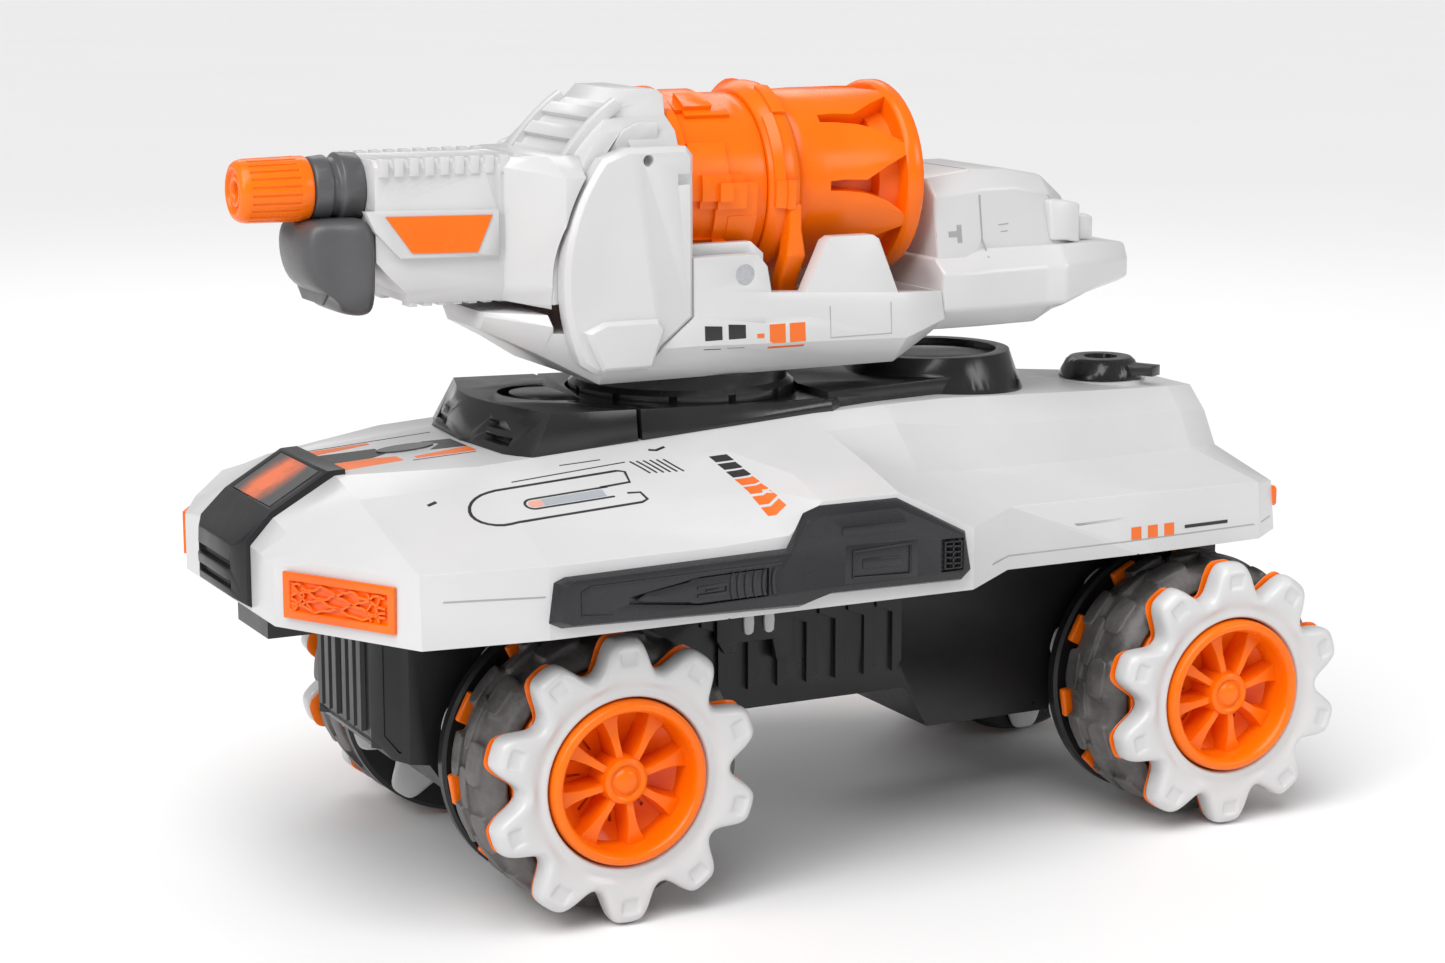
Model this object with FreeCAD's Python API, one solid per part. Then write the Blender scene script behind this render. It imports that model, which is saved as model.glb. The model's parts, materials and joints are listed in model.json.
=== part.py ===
import FreeCAD, Part
import math
import os
from FreeCAD import Vector as V

# Toy armoured car with four toothed wheels and a turning gun turret.
# Frame: +X forward, +Y the car's left, +Z up, origin on the ground under the middle of the car.

# ---- driving dimensions, mm ----
WHEEL_R = 40.0            # hub height, and the radius to the tips of the wheel's teeth
WHEELBASE = 198.0
FRONT_AXLE_X = 74.0
REAR_AXLE_X = FRONT_AXLE_X - WHEELBASE
TEETH = 10                # teeth round one wheel plate
VALLEY_R = 31.0           # radius between the wheel's teeth
RIM_R = 23.0
TYRE_R = 39.2
WHEEL_IN_Y = 34.5         # inboard face of a wheel
WHEEL_OUT_Y = 79.0        # outboard face of a wheel
AXLE_R = 3.0
RUN_FIT = 0.05            # radial clearance of a shaft in its bore

SHELL_Z = 84.0            # lower edge of the body shell
WALL = 2.4
SIDE_Y = 86.0             # flat of the body's side
REAR_Y = 69.0             # half-width of the rear body
NOSE_HALF = 20.0
NOSE_X = TYRE_R - REAR_AXLE_X     # as far forward as the rear tyres reach back
SKIRT_T = 3.5
CHASSIS_Y = 32.0          # half-width of the chassis between the wheels

TURRET_X = 20.0           # turning axis of the turret
NECK_R = 33.0
SHAFT_R = 12.0
SPINDLE_R = 3.2
SLEEVE_R = 19.0            # bearing of the lock ring on the drum collar
PIN_R = 3.0
DECK_TOP_Z = 134.0        # top of the deck cover
TURRET_Z = 140.0          # underside of the turret
TURRET_Y = 38.0
PIVOT_X = 18.0            # pitch axis of the gun
PIVOT_Z = 169.0
CHEEK_R = 55.0            # curved front edge of the cheeks, round the pitch axis
BORE_Z = 195.0
DRUM_Z = 191.5
DRUM_R = 28.0

GEAR_MODULE = 1.25
YAW_GEAR_TEETH = 36
YAW_PINION_TEETH = 12
YAW_GEAR_Z = 104.0
YAW_GEAR_T = 5.0

KNOB_X = -127.0
KNOB_R = 13.0
KNOB_STEM_R = 4.0
KNOB_SEAT_Z = 124.9


# ---- helpers ----
def face(points):
    return Part.Face(Part.makePolygon(list(points) + [points[0]]))


def prism_xz(points, y0, y1):
    return face([V(x, y0, z) for x, z in points]).extrude(V(0, y1 - y0, 0))


def prism_xy(points, z0, z1):
    return face([V(x, y, z0) for x, y in points]).extrude(V(0, 0, z1 - z0))


def prism_yz(points, x0, x1):
    return face([V(x0, y, z) for y, z in points]).extrude(V(x1 - x0, 0, 0))


def box(x0, x1, y0, y1, z0, z1):
    return Part.makeBox(x1 - x0, y1 - y0, z1 - z0, V(x0, y0, z0))


def cyl_x(r, x0, x1, y=0.0, z=0.0):
    return Part.makeCylinder(r, x1 - x0, V(x0, y, z), V(1, 0, 0))


def cyl_y(r, y0, y1, x=0.0, z=0.0):
    return Part.makeCylinder(r, y1 - y0, V(x, y0, z), V(0, 1, 0))


def cyl_z(r, z0, z1, x=0.0, y=0.0):
    return Part.makeCylinder(r, z1 - z0, V(x, y, z0), V(0, 0, 1))


def side_box(x0, x1, side, y0, y1, z0, z1):
    """Box between two distances from the car's middle plane, on its left (1) or right (-1)."""
    low, high = sorted((side * y0, side * y1))
    return box(x0, x1, low, high, z0, z1)


def polar(r, degrees):
    a = math.radians(degrees)
    return r * math.cos(a), r * math.sin(a)


def mirror_y(shape):
    return shape.mirror(V(0, 0, 0), V(0, 1, 0))


def both_sides(shape):
    return [shape, mirror_y(shape)]


def fuse(shapes):
    shapes = list(shapes)
    return shapes[0].multiFuse(shapes[1:]).removeSplitter() if len(shapes) > 1 else shapes[0]


def cut(shape, tools):
    return shape.cut(list(tools))


def skinned(loops):
    """Closed solid through loops of equal length, each wall quad split into two triangles."""
    faces = [face(loops[0]), face(loops[-1])]
    count = len(loops[0])
    for low, high in zip(loops, loops[1:]):
        for i in range(count):
            j = (i + 1) % count
            quad = [low[i], low[j], high[j], high[i]]
            for tri in ([quad[0], quad[1], quad[2]], [quad[0], quad[2], quad[3]]):
                corners = [p for k, p in enumerate(tri) if (p - tri[k - 1]).Length > 1e-6]
                if len(corners) == 3:
                    faces.append(face(corners))
    shell = Part.makeShell(faces)
    shell.sewShape()
    solid = Part.makeSolid(shell)
    if solid.Volume < 0:
        solid.reverse()
    return solid.removeSplitter()


def along_x(stations):
    """Stations are (x, half profile), the profile running from the top centre to the bottom centre."""
    loops = []
    for x, half in stations:
        left = [V(x, y, z) for y, z in half]
        right = [V(x, -y, z) for y, z in reversed(half[1:-1])]
        loops.append(left + right)
    return skinned(loops)


def revolve_y(profile, x, z):
    """Turns a closed (radius, y) profile once round an axis parallel to Y."""
    ring = face([V(x + r, y, z) for r, y in profile])
    return ring.revolve(V(x, 0, z), V(0, 1, 0), 360)


def revolve_x(profile, z):
    """Turns a closed (x, radius) profile once round an axis parallel to X at height z."""
    ring = face([V(x, 0, z + r) for x, r in profile])
    return ring.revolve(V(0, 0, z), V(1, 0, 0), 360)


def revolve_z(profile, x, y):
    """Turns a closed (radius, z) profile once round a vertical axis."""
    ring = face([V(x + r, y, z) for r, z in profile])
    return ring.revolve(V(x, y, 0), V(0, 0, 1), 360)


def save(shape, node):
    shape.exportStep("parts/" + node + ".step")


# ---- body shell ----
SHELL_STATIONS = [
    # x, deck half-width, deck z, shoulder (y, z), step foot (y, z), band top (y, z), foot half-width
    (158.5, 20.0, 102.0, (28.0, 101.5), (34.0, 101.0), (39.0, 100.0), 39.0),
    (152.0, 20.0, 109.0, (32.0, 107.0), (42.0, 104.5), (50.4, 102.5), 50.4),
    (134.0, 20.0, 119.0, (38.0, 115.5), (60.0, 109.0), (81.0, 103.5), 82.0),
    (100.0, 37.0, 121.4, (46.0, 118.5), (66.0, 111.5), (SIDE_Y, 103.5), SIDE_Y),
    (50.0, 38.0, 124.6, (48.0, 121.0), (68.0, 113.5), (SIDE_Y, 104.0), SIDE_Y),
    (30.0, 38.0, 125.9, (48.0, 122.0), (69.0, 114.5), (SIDE_Y, 105.0), SIDE_Y),
    (20.0, 38.0, 126.5, (47.0, 123.0), (70.0, 118.0), (SIDE_Y, 113.5), SIDE_Y),
    (-4.0, 37.0, 128.0, (45.0, 124.0), (68.0, 118.5), (SIDE_Y, 113.5), SIDE_Y),
    (-28.0, 36.0, 128.6, (42.0, 124.0), (56.0, 112.0), (SIDE_Y, 101.5), SIDE_Y),
    (-50.0, 33.0, 128.4, (39.0, 121.0), (46.0, 109.0), (70.0, 102.5), REAR_Y),
    (-100.0, 26.0, 125.6, (33.0, 118.0), (39.0, 107.0), (68.0, 102.0), REAR_Y),
    (-140.0, 18.0, 123.2, (25.0, 116.5), (31.0, 106.0), (66.0, 101.0), 67.0),
    (-153.0, 12.0, 122.0, (20.0, 115.0), (26.0, 105.0), (55.0, 98.5), 57.0),
]


def shell_body(inset, foot_z):
    stations = []
    last = len(SHELL_STATIONS) - 1
    for i, (x, deck_y, deck_z, shoulder, step, band, foot_y) in enumerate(SHELL_STATIONS):
        end = inset if i == 0 else (-inset if i == last else 0.0)
        points = [(0.0, deck_z), (deck_y, deck_z), shoulder, step, band]
        half = [(0.0, deck_z - inset)]
        half += [(y - inset, z - inset) for y, z in points[1:]]
        half += [(foot_y - inset, foot_z), (0.0, foot_z)]
        stations.append((x - end, half))
    return along_x(stations)


def nose_profile(inset):
    front = [(NOSE_X - 5.5, 84.5), (NOSE_X - 1.0, 87.0), (NOSE_X, 94.0), (NOSE_X - 1.2, 101.5),
             (152.6, 110.6), (136.0, 120.4), (131.0, 120.6)]
    back = [(131.0, 116.5), (150.0, 105.5), (156.0, 98.0), (156.0, 84.5)]
    return [(x - inset, z) for x, z in front] + back


def upper_shell():
    solid = shell_body(0.0, SHELL_Z)
    solid = cut(solid, [shell_body(WALL, SHELL_Z - WALL)])
    boss = cyl_z(SHAFT_R + 5.0, 112.0, 124.5, TURRET_X)
    seat = cyl_z(KNOB_R + 1.5, 121.5, KNOB_SEAT_Z, KNOB_X)
    solid = fuse([solid, boss, seat])
    tools = [cyl_z(SHAFT_R + RUN_FIT, 100.0, 140.0, TURRET_X)]
    tools.append(prism_xz(nose_profile(0.0), -NOSE_HALF, NOSE_HALF))
    tools.append(cyl_z(KNOB_STEM_R + RUN_FIT, 110.0, 130.0, KNOB_X))
    for side in (1, -1):
        groove = box(-154.0, -40.0, -0.4, 0.4, -0.4, 0.4)
        groove.translate(V(0, side * (REAR_Y + 0.1), 95.0))
        tools.append(groove)
        for x in (-95.0, 48.0):
            tools.append(side_box(x - 0.35, x + 0.35, side, 60.0, 95.0, 83.0, 84.2))
    return cut(solid, tools)


def nose_cover():
    solid = prism_xz(nose_profile(0.0), -NOSE_HALF + 0.2, NOSE_HALF - 0.2)
    tools = []
    for z in (90.5, 96.0):
        tools.append(box(NOSE_X - 2.4, NOSE_X + 1.0, -14.0, 14.0, z - 1.2, z + 1.2))
    tools.append(windscreen_block(0.1))
    for side in (1, -1):
        wedge = [(NOSE_X + 1.0, side * 10.0), (NOSE_X + 1.0, side * 21.0), (NOSE_X - 4.0, side * 21.0)]
        tools.append(prism_xy(wedge, 84.0, 104.0))
    return cut(solid, tools)


def windscreen_block(gap):
    """Pane let into the slope between the grille and the hood, or its seat when there is a gap."""
    half = 15.5 + gap
    foot = 2.0 * gap
    pane = [(151.4 + gap, 111.4 + gap), (137.2 - gap, 119.8 + gap), (136.1 - gap, 117.9 - foot),
            (150.3 + gap, 109.5 - foot)]
    return prism_xz(pane, -half, half)


LAMP_LENGTH, LAMP_HEIGHT, LAMP_Z = 37.0, 12.5, 93.6
CHAMFER_FOOT, CHAMFER_END = V(158.5, 39.0, 0.0), V(134.0, 82.0, 0.0)


def headlamp():
    run = CHAMFER_END - CHAMFER_FOOT
    run.normalize()
    out = V(run.y, -run.x, 0.0)
    centre = CHAMFER_FOOT + run * 23.0 + V(0, 0, LAMP_Z)
    solid = Part.makeBox(LAMP_LENGTH, 1.4, LAMP_HEIGHT)
    solid = solid.makeChamfer(1.2, [e for e in solid.Edges if abs(e.tangentAt(0).y) > 0.9])
    recess = Part.makeBox(LAMP_LENGTH - 4.0, 1.0, LAMP_HEIGHT - 4.0, V(2.0, -0.4, 2.0))
    solid = solid.cut(recess)
    web = []
    for i in range(6):
        x = 5.0 + i * 5.4
        web.append(Part.makeBox(0.8, 0.6, LAMP_HEIGHT - 4.0, V(x, 0.0, 2.0)))
    web.append(Part.makeBox(LAMP_LENGTH - 4.0, 0.6, 0.8, V(2.0, 0.0, LAMP_HEIGHT / 2 - 0.4)))
    solid = fuse([solid] + web)
    solid.translate(V(-LAMP_LENGTH / 2, -1.4, -LAMP_HEIGHT / 2))
    solid.rotate(V(0, 0, 0), V(0, 0, 1), math.degrees(math.atan2(run.y, run.x)))
    solid.translate(centre + out * 0.05)
    return solid


def tail_lamps():
    lamp = box(-155.2, -153.05, 42.0, 55.0, 90.5, 96.5)
    lamp = lamp.makeChamfer(0.8, [e for e in lamp.Edges if abs(e.tangentAt(0).x) > 0.9])
    return Part.makeCompound(both_sides(lamp))


SKIRT_OUTLINE = [(100.5, 88.5), (99.0, 99.2), (96.0, 100.4), (31.0, 101.6), (26.0, 110.8),
                 (21.0, 112.4), (-3.0, 112.4), (-25.0, 101.0), (-27.0, 90.0), (-24.0, 87.2),
                 (18.0, 87.6), (27.0, 85.0), (97.0, 86.8)]


def side_skirt():
    back, front = SIDE_Y + 0.02, SIDE_Y + SKIRT_T
    rim = [V(x, back, z) for x, z in SKIRT_OUTLINE]
    mid_x, mid_z = 36.0, 96.0
    shrink = 0.965
    lid = [V(mid_x + (x - mid_x) * shrink, front, mid_z + (z - mid_z) * 0.86) for x, z in SKIRT_OUTLINE]
    solid = skinned([rim, lid])
    y0, y1 = front - 1.1, front + 1.0
    knife = [(38.0, 90.0), (38.0, 97.6), (58.0, 97.2), (79.0, 93.8), (79.0, 92.0), (58.0, 89.6)]
    tools = [prism_xz(knife, y0, y1), box(-7.0, 14.0, y0, y1, 91.0, 101.0)]
    tools.append(box(-22.5, -15.5, y0, y1, 91.0, 100.0))
    solid = cut(solid, tools)
    extra = [box(39.0 + i * 3.6, 40.8 + i * 3.6, y0 - 0.2, front - 0.3, 90.6, 97.0) for i in range(5)]
    extra.append(box(-4.0, 11.0, y0 - 0.2, front - 0.3, 93.5, 98.5))
    extra.append(box(-4.0, 16.0, front - 0.4, front + 0.7, 104.2, 106.4))
    return fuse([solid] + extra)


# ---- deck cover, turntable and its drive ----
COVER_FOOT = [(90.5, 0), (88.5, 30), (85.0, 37.5), (-12.0, 37.5), (-18.0, 32.0)]
COVER_TOP = [(86.5, 0), (85.0, 12), (77.0, 35.5), (-10.0, 36.5), (-16.0, 31.0)]
HUMP_X, HUMP_FOOT_R, HUMP_TOP_R, HUMP_TOP_Z = -64.0, 31.0, 24.5, 138.2


def half_to_loop(points, z_of):
    left = [V(x, y, z_of(x)) for x, y in points]
    right = [V(x, -y, z_of(x)) for x, y in reversed(points) if y > 0]
    return left + right


def deck_cover():
    foot = half_to_loop(COVER_FOOT, lambda x: 119.0)
    top = half_to_loop(COVER_TOP, lambda x: DECK_TOP_Z - (77.0 - x) * 0.03)
    plate = skinned([foot, top])
    hump = Part.makeCone(HUMP_FOOT_R, HUMP_TOP_R, HUMP_TOP_Z - 120.0, V(HUMP_X, 0, 120.0))
    bridge = prism_xy([(HUMP_X, -24.0), (-11.0, -33.0), (-11.0, 33.0), (HUMP_X, 24.0)], 120.0, 133.0)
    solid = fuse([plate, bridge, hump])
    tools = [shell_body(0.0, SHELL_Z)]
    tools.append(cyl_z(NECK_R + 1.0, 110.0, 150.0, TURRET_X))
    dish = cyl_z(HUMP_TOP_R - 4.0, HUMP_TOP_Z - 2.0, HUMP_TOP_Z + 1.0, HUMP_X)
    tools.append(dish)
    slot = cyl_z(15.0, 131.6, 140.0, 62.0).cut(cyl_z(11.5, 130.0, 141.0, 62.0))
    tools.append(slot.common(box(58.0, 80.0, -20.0, 20.0, 130.0, 141.0)))
    for side in (1, -1):
        tools.append(side_box(50.0, 51.4, side, 30.6, 39.4, 122.0, 140.0))
        for z in (124.2, 128.0):
            tools.append(side_box(84.4, 95.0, side, 14.0, 27.0, z, z + 2.2))
    return cut(solid, tools)


def toothed_disc(teeth, module, z0, thickness, bore, first_tooth, cx, cy):
    """Spur gear with straight-sided teeth, slim enough to run with backlash."""
    pitch_r = teeth * module / 2.0
    root_r, tip_r = pitch_r - 1.25 * module, pitch_r + 0.9 * module
    step = 360.0 / teeth
    points = []
    for i in range(teeth):
        mid = first_tooth + i * step
        for r, share in ((root_r, -0.30), (tip_r, -0.11), (tip_r, 0.11), (root_r, 0.30)):
            x, y = polar(r, mid + share * step)
            points.append(V(cx + x, cy + y, z0))
    disc = face(points).extrude(V(0, 0, thickness))
    return disc.cut(cyl_z(bore, z0 - 1.0, z0 + thickness + 1.0, cx, cy)) if bore else disc


def pinion_x():
    return TURRET_X - GEAR_MODULE * (YAW_GEAR_TEETH + YAW_PINION_TEETH) / 2.0


def turntable():
    head = revolve_z([(0, 130.2), (NECK_R, 130.2), (NECK_R, 134.5), (NECK_R - 2.0, 136.0),
                      (NECK_R - 2.0, TURRET_Z), (0, TURRET_Z)], TURRET_X, 0)
    shaft = cyl_z(SHAFT_R, YAW_GEAR_Z - 1.0, 131.0, TURRET_X)
    solid = fuse([head, shaft])
    notches = []
    for i in range(12):
        x, y = polar(NECK_R, i * 30.0)
        notches.append(cyl_z(1.2, 130.0, 134.6, TURRET_X + x, y))
    return cut(solid, notches + [cyl_z(5.0, 90.0, 150.0, TURRET_X)])


def turret_gear():
    return toothed_disc(YAW_GEAR_TEETH, GEAR_MODULE, YAW_GEAR_Z, YAW_GEAR_T, SHAFT_R, 180.0, TURRET_X, 0)


def yaw_pinion():
    half_step = 180.0 / YAW_PINION_TEETH
    return toothed_disc(YAW_PINION_TEETH, GEAR_MODULE, YAW_GEAR_Z, YAW_GEAR_T, 0, half_step, pinion_x(), 0)


def yaw_motor():
    can = cyl_z(10.0, 88.0, 102.0, pinion_x())
    return fuse([can, cyl_z(3.0, 102.0, 103.4, pinion_x())])


def power_knob():
    z0 = KNOB_SEAT_Z + 0.3
    body = revolve_z([(0, z0), (KNOB_R, z0), (KNOB_R - 0.6, z0 + 2.0), (KNOB_R - 2.2, z0 + 5.0),
                      (KNOB_R - 3.4, z0 + 6.0), (0, z0 + 6.0)], KNOB_X, 0)
    stem = cyl_z(KNOB_STEM_R, 116.0, z0 + 0.5, KNOB_X)
    lever = box(0.0, KNOB_R + 6.5, -2.6, 2.6, z0 + 1.4, z0 + 4.6)
    lever.rotate(V(0, 0, 0), V(0, 0, 1), 118.0)
    lever.translate(V(KNOB_X, 0, 0))
    return cut(fuse([body, stem, lever]), [cyl_z(5.2, z0 + 2.0, z0 + 7.0, KNOB_X)])


# ---- chassis and what it holds ----
CHASSIS_SIDE = [(126.0, 86.0), (126.0, 45.0), (122.0, 39.5), (113.0, 38.0), (107.0, 29.0), (42.0, 29.0),
                (34.0, 42.0), (-38.0, 42.0), (-46.0, 29.0), (-146.0, 29.0), (-150.0, 36.0),
                (-150.0, 86.0)]
FLOOR_Z = 31.5


def chassis_plate():
    half = [(x, foot_y - WALL - 0.5) for x, *_, foot_y in SHELL_STATIONS]
    half[0] = (half[0][0] - WALL - 0.5, half[0][1])
    half[-1] = (half[-1][0] + WALL + 0.5, half[-1][1])
    loop = half + [(x, -y) for x, y in reversed(half)]
    plate = prism_xy(loop, 84.2, 86.2)
    return plate.cut(box(-130.0, 120.0, -CHASSIS_Y + WALL, CHASSIS_Y - WALL, 80.0, 90.0))


SCREW_SINK = 1.5          # depth of a screw's counterbore


def screw_spots():
    """(x, y, height of the underside) of each case screw."""
    spots = []
    for x, y, foot in ((98.0, 24.0, 29.0), (-138.0, 24.0, 29.0), (20.0, 27.0, 42.0), (-20.0, 27.0, 42.0)):
        spots += [(x, y, foot), (x, -y, foot)]
    return spots


def hook_rib(x):
    """Hooked side rib: an upright that turns forward at its head and back at its toe."""
    outline = [(x, 51.0), (x + 3.2, 48.0), (x + 3.2, 66.0), (x + 8.6, 68.0), (x + 8.6, 71.5), (x, 71.5)]
    return prism_xz(outline, CHASSIS_Y - 0.5, CHASSIS_Y + 1.6)


def lower_chassis():
    tub = prism_xz(CHASSIS_SIDE, -CHASSIS_Y, CHASSIS_Y)
    inner = [(123.5, 90.0), (123.5, 46.0), (120.8, 41.8), (111.8, 40.5), (105.8, FLOOR_Z), (43.5, FLOOR_Z),
             (35.5, 44.5), (-39.5, 44.5), (-47.5, FLOOR_Z), (-145.0, FLOOR_Z), (-147.5, 37.0),
             (-147.5, 90.0)]
    tub = tub.cut(prism_xz(inner, -CHASSIS_Y + WALL, CHASSIS_Y - WALL))
    corner = [(118.0, CHASSIS_Y + 1.0), (127.0, 20.0), (127.0, CHASSIS_Y + 1.0)]
    wedge = prism_xy(corner, 20.0, 84.2)
    for tool in both_sides(wedge):
        tub = tub.cut(tool)
    brace = prism_xy([(118.0, CHASSIS_Y), (126.0, 21.3), (123.5, 17.9), (114.0, CHASSIS_Y - WALL)], 42.0, 84.2)
    extra = [chassis_plate(), box(125.0, 152.0, -13.0, 13.0, 74.0, 84.4)] + both_sides(brace)
    for side in (1, -1):
        for i in range(7):
            rib = hook_rib(-36.0 + i * 9.6)
            extra.append(rib if side > 0 else mirror_y(rib))
        for i in range(3):
            y0 = side * (4.0 + i * 6.0)
            extra.append(box(125.5, 127.4, y0 - 1.6, y0 + 1.6, 46.0, 84.0))
        for x in (FRONT_AXLE_X, REAR_AXLE_X):
            extra.append(cyl_y(9.0, min(side * 24.0, side * 33.5), max(side * 24.0, side * 33.5), x, WHEEL_R))
    solid = fuse([tub] + extra)
    tools = [cyl_y(AXLE_R + RUN_FIT, -60.0, 60.0, x, WHEEL_R) for x in (FRONT_AXLE_X, REAR_AXLE_X)]
    tools.append(box(-30.0, 30.0, -20.0, 20.0, 40.0, 46.0))
    tools += [cyl_z(3.2, foot - 1.0, foot + SCREW_SINK, x, y) for x, y, foot in screw_spots()]
    return cut(solid, tools)


def battery_door():
    lid = box(-29.6, 29.6, -19.6, 19.6, 42.2, 44.2)
    lid = lid.makeChamfer(0.6, [e for e in lid.Edges if abs(e.tangentAt(0).z) > 0.9])
    ribs = [box(-20.0, 20.0, -12.0 + i * 6.0, -10.6 + i * 6.0, 41.6, 42.4) for i in range(5)]
    return fuse([lid] + ribs)


def battery_pack():
    cells = []
    for i in range(2):
        cells.append(cyl_x(9.2, -33.0, 33.0, -9.3 + i * 18.6, 54.2))
    return fuse(cells + [box(-33.0, 33.0, -9.0, 9.0, 45.6, 62.0)])


def circuit_board():
    board = box(-100.0, -50.0, -22.0, 22.0, 84.0, 85.6)
    chips = [box(-92.0, -80.0, -8.0, 6.0, 85.5, 87.4), box(-70.0, -62.0, -14.0, -6.0, 85.5, 87.0)]
    chips.append(cyl_z(3.0, 85.5, 92.0, -60.0, 12.0))
    legs = [box(-93.0, -90.0, y, y + 3.0, FLOOR_Z, 84.1) for y in (-21.0, 18.0)]
    legs += [box(-55.0, -52.0, y, y + 3.0, FLOOR_Z, 84.1) for y in (-21.0, 18.0)]
    return fuse([board] + chips + legs)


def drive_motors():
    motors = []
    for x in (FRONT_AXLE_X, REAR_AXLE_X):
        for side in (1, -1):
            y0, y1 = sorted((side * 4.0, side * 22.0))
            case = box(x - 11.0, x + 11.0, y0, y1, FLOOR_Z, WHEEL_R + 11.0)
            can = cyl_x(8.0, x + 10.0, x + 28.0, side * 13.0, WHEEL_R + 2.0)
            bore = cyl_y(AXLE_R + RUN_FIT, -30.0, 30.0, x, WHEEL_R)
            motors.append(cut(fuse([case, can]), [bore]))
    return Part.makeCompound(motors)


def case_screws():
    screws = []
    for x, y, foot in screw_spots():
        top = foot + SCREW_SINK
        head = revolve_z([(0, top - 1.2), (1.6, top - 1.2), (2.6, top - 0.3), (2.6, top), (0, top)], x, y)
        cross = box(x - 1.3, x + 1.3, y - 0.3, y + 0.3, top - 1.4, top - 0.7)
        screws.append(head.cut(cross))
    return Part.makeCompound(screws)


# ---- wheels, drawn about the origin with +Y outboard and then placed ----
def tooth_outline(valley, tip, y, phase):
    """Closed smooth curve round the teeth of a wheel plate."""
    points = []
    step = 360.0 / TEETH
    for i in range(TEETH):
        mid = phase + i * step
        shape = ((-0.50, valley), (-0.36, valley + 1.2), (-0.20, tip - 1.4), (-0.07, tip), (0.07, tip),
                 (0.20, tip - 1.4), (0.36, valley + 1.2))
        for share, r in shape:
            x, z = polar(r, mid + share * step)
            points.append(V(x, y, z))
    curve = Part.BSplineCurve()
    curve.interpolate(points, PeriodicFlag=True)
    return Part.Wire([curve.toShape()])


def tooth_plate(valley, tip, y0, y1, hole):
    phase = -90.0
    plate = Part.Face(tooth_outline(valley, tip, y0, phase)).extrude(V(0, y1 - y0, 0))
    return plate.cut(cyl_y(hole, y0 - 1.0, y1 + 1.0))


def outer_plate():
    return tooth_plate(VALLEY_R, WHEEL_R - 0.24, 70.6, WHEEL_OUT_Y, RIM_R + 0.3)


def inner_plate():
    return tooth_plate(VALLEY_R - 1.0, WHEEL_R - 1.2, WHEEL_IN_Y, 36.4, 15.0)


def inner_ring():
    return revolve_y([(12.0, 36.5), (37.5, 36.5), (38.8, 37.6), (38.8, 40.4), (37.8, 41.2), (12.0, 41.2)], 0, 0)


def tyre():
    profile = [(30.2, 44.8), (36.6, 44.8), (38.2, 46.0), (TYRE_R, 50.0), (TYRE_R, 61.0), (38.4, 66.5),
               (36.0, 69.0), (30.2, 69.0)]
    body = revolve_y(profile, 0, 0)
    grooves = []
    for i in range(2 * TEETH):
        lug = box(34.6, 44.0, 46.5 + (i % 2) * 11.0, 56.0 + (i % 2) * 11.0, -1.5, 1.5)
        lug.rotate(V(0, 0, 0), V(0, 1, 0), i * 180.0 / TEETH)
        grooves.append(lug)
    return cut(body, grooves)


def rim():
    """Orange moulding: outboard ring and spokes, barrel, star backing and the raised blocks."""
    barrel = revolve_y([(20.6, 41.4), (30.0, 41.4), (30.0, 68.9), (22.9, 69.0), (22.9, 78.0), (21.8, 79.0),
                        (19.6, 79.0), (18.8, 77.4), (18.8, 70.0), (20.6, 66.0)], 0, 0)
    back = revolve_y([(AXLE_R, 64.0), (21.0, 64.0), (21.0, 66.6), (AXLE_R, 66.6)], 0, 0)
    star = Part.Face(tooth_outline(VALLEY_R + 0.4, WHEEL_R - 0.4, 69.1, -91.5)).extrude(V(0, 1.4, 0))
    star = star.cut(cyl_y(22.0, 60.0, 80.0))
    hub = revolve_y([(AXLE_R, 64.0), (6.6, 64.0), (6.0, 76.2), (4.6, 76.8), (4.2, 76.0), (AXLE_R, 76.0)], 0, 0)
    pieces = [barrel, back, star, hub]
    for i in range(8):
        outline = [V(5.0, 67.0, -1.3), V(19.4, 67.0, -3.2), V(19.4, 67.0, 3.2), V(5.0, 67.0, 1.3)]
        spoke = face(outline).extrude(V(0, 7.6, 0))
        spoke.rotate(V(0, 0, 0), V(0, 1, 0), i * 45.0 + 12.0)
        pieces.append(spoke)
    for i in range(TEETH):
        block = box(29.0, 38.4, 41.4, 44.6, -4.2, 4.2)
        block = block.makeChamfer(1.2, [e for e in block.Edges if abs(e.tangentAt(0).x) > 0.9])
        block.rotate(V(0, 0, 0), V(0, 1, 0), i * 360.0 / TEETH + 9.0)
        pieces.append(block)
    solid = fuse(pieces)
    holes = [cyl_y(1.1, 60.0, 70.0, *polar(13.5, i * 45.0 + 30.0)) for i in range(8)]
    return cut(solid, holes)


def axle():
    """Steel axle, splined into the rim, with its domed cap outboard."""
    cap = revolve_y([(0, 75.0), (AXLE_R - 0.1, 75.0), (AXLE_R - 0.1, 76.9), (2.0, 77.6), (0, 77.8)], 0, 0)
    return fuse([cyl_y(AXLE_R - 0.02, 5.0, 75.2), cap])


WHEEL_NODES = (("tyre", tyre), ("rim", rim), ("outer_plate", outer_plate), ("inner_plate", inner_plate),
               ("inner_ring", inner_ring), ("axle", axle))


def write_wheels():
    for end, x in (("front", FRONT_AXLE_X), ("rear", REAR_AXLE_X)):
        for hand in ("left", "right"):
            for name, maker in WHEEL_NODES:
                solid = maker()
                if hand == "right":
                    solid = mirror_y(solid)
                solid.translate(V(x, 0, WHEEL_R))
                save(solid, "wheel_" + end + "_" + hand + "_" + name)


# ---- turret ----
def about_pivot(r, degrees):
    x, z = polar(r, degrees)
    return PIVOT_X + x, PIVOT_Z + z


def arc_points(r, start, end, count):
    return [about_pivot(r, start + (end - start) * i / (count - 1)) for i in range(count)]


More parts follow.
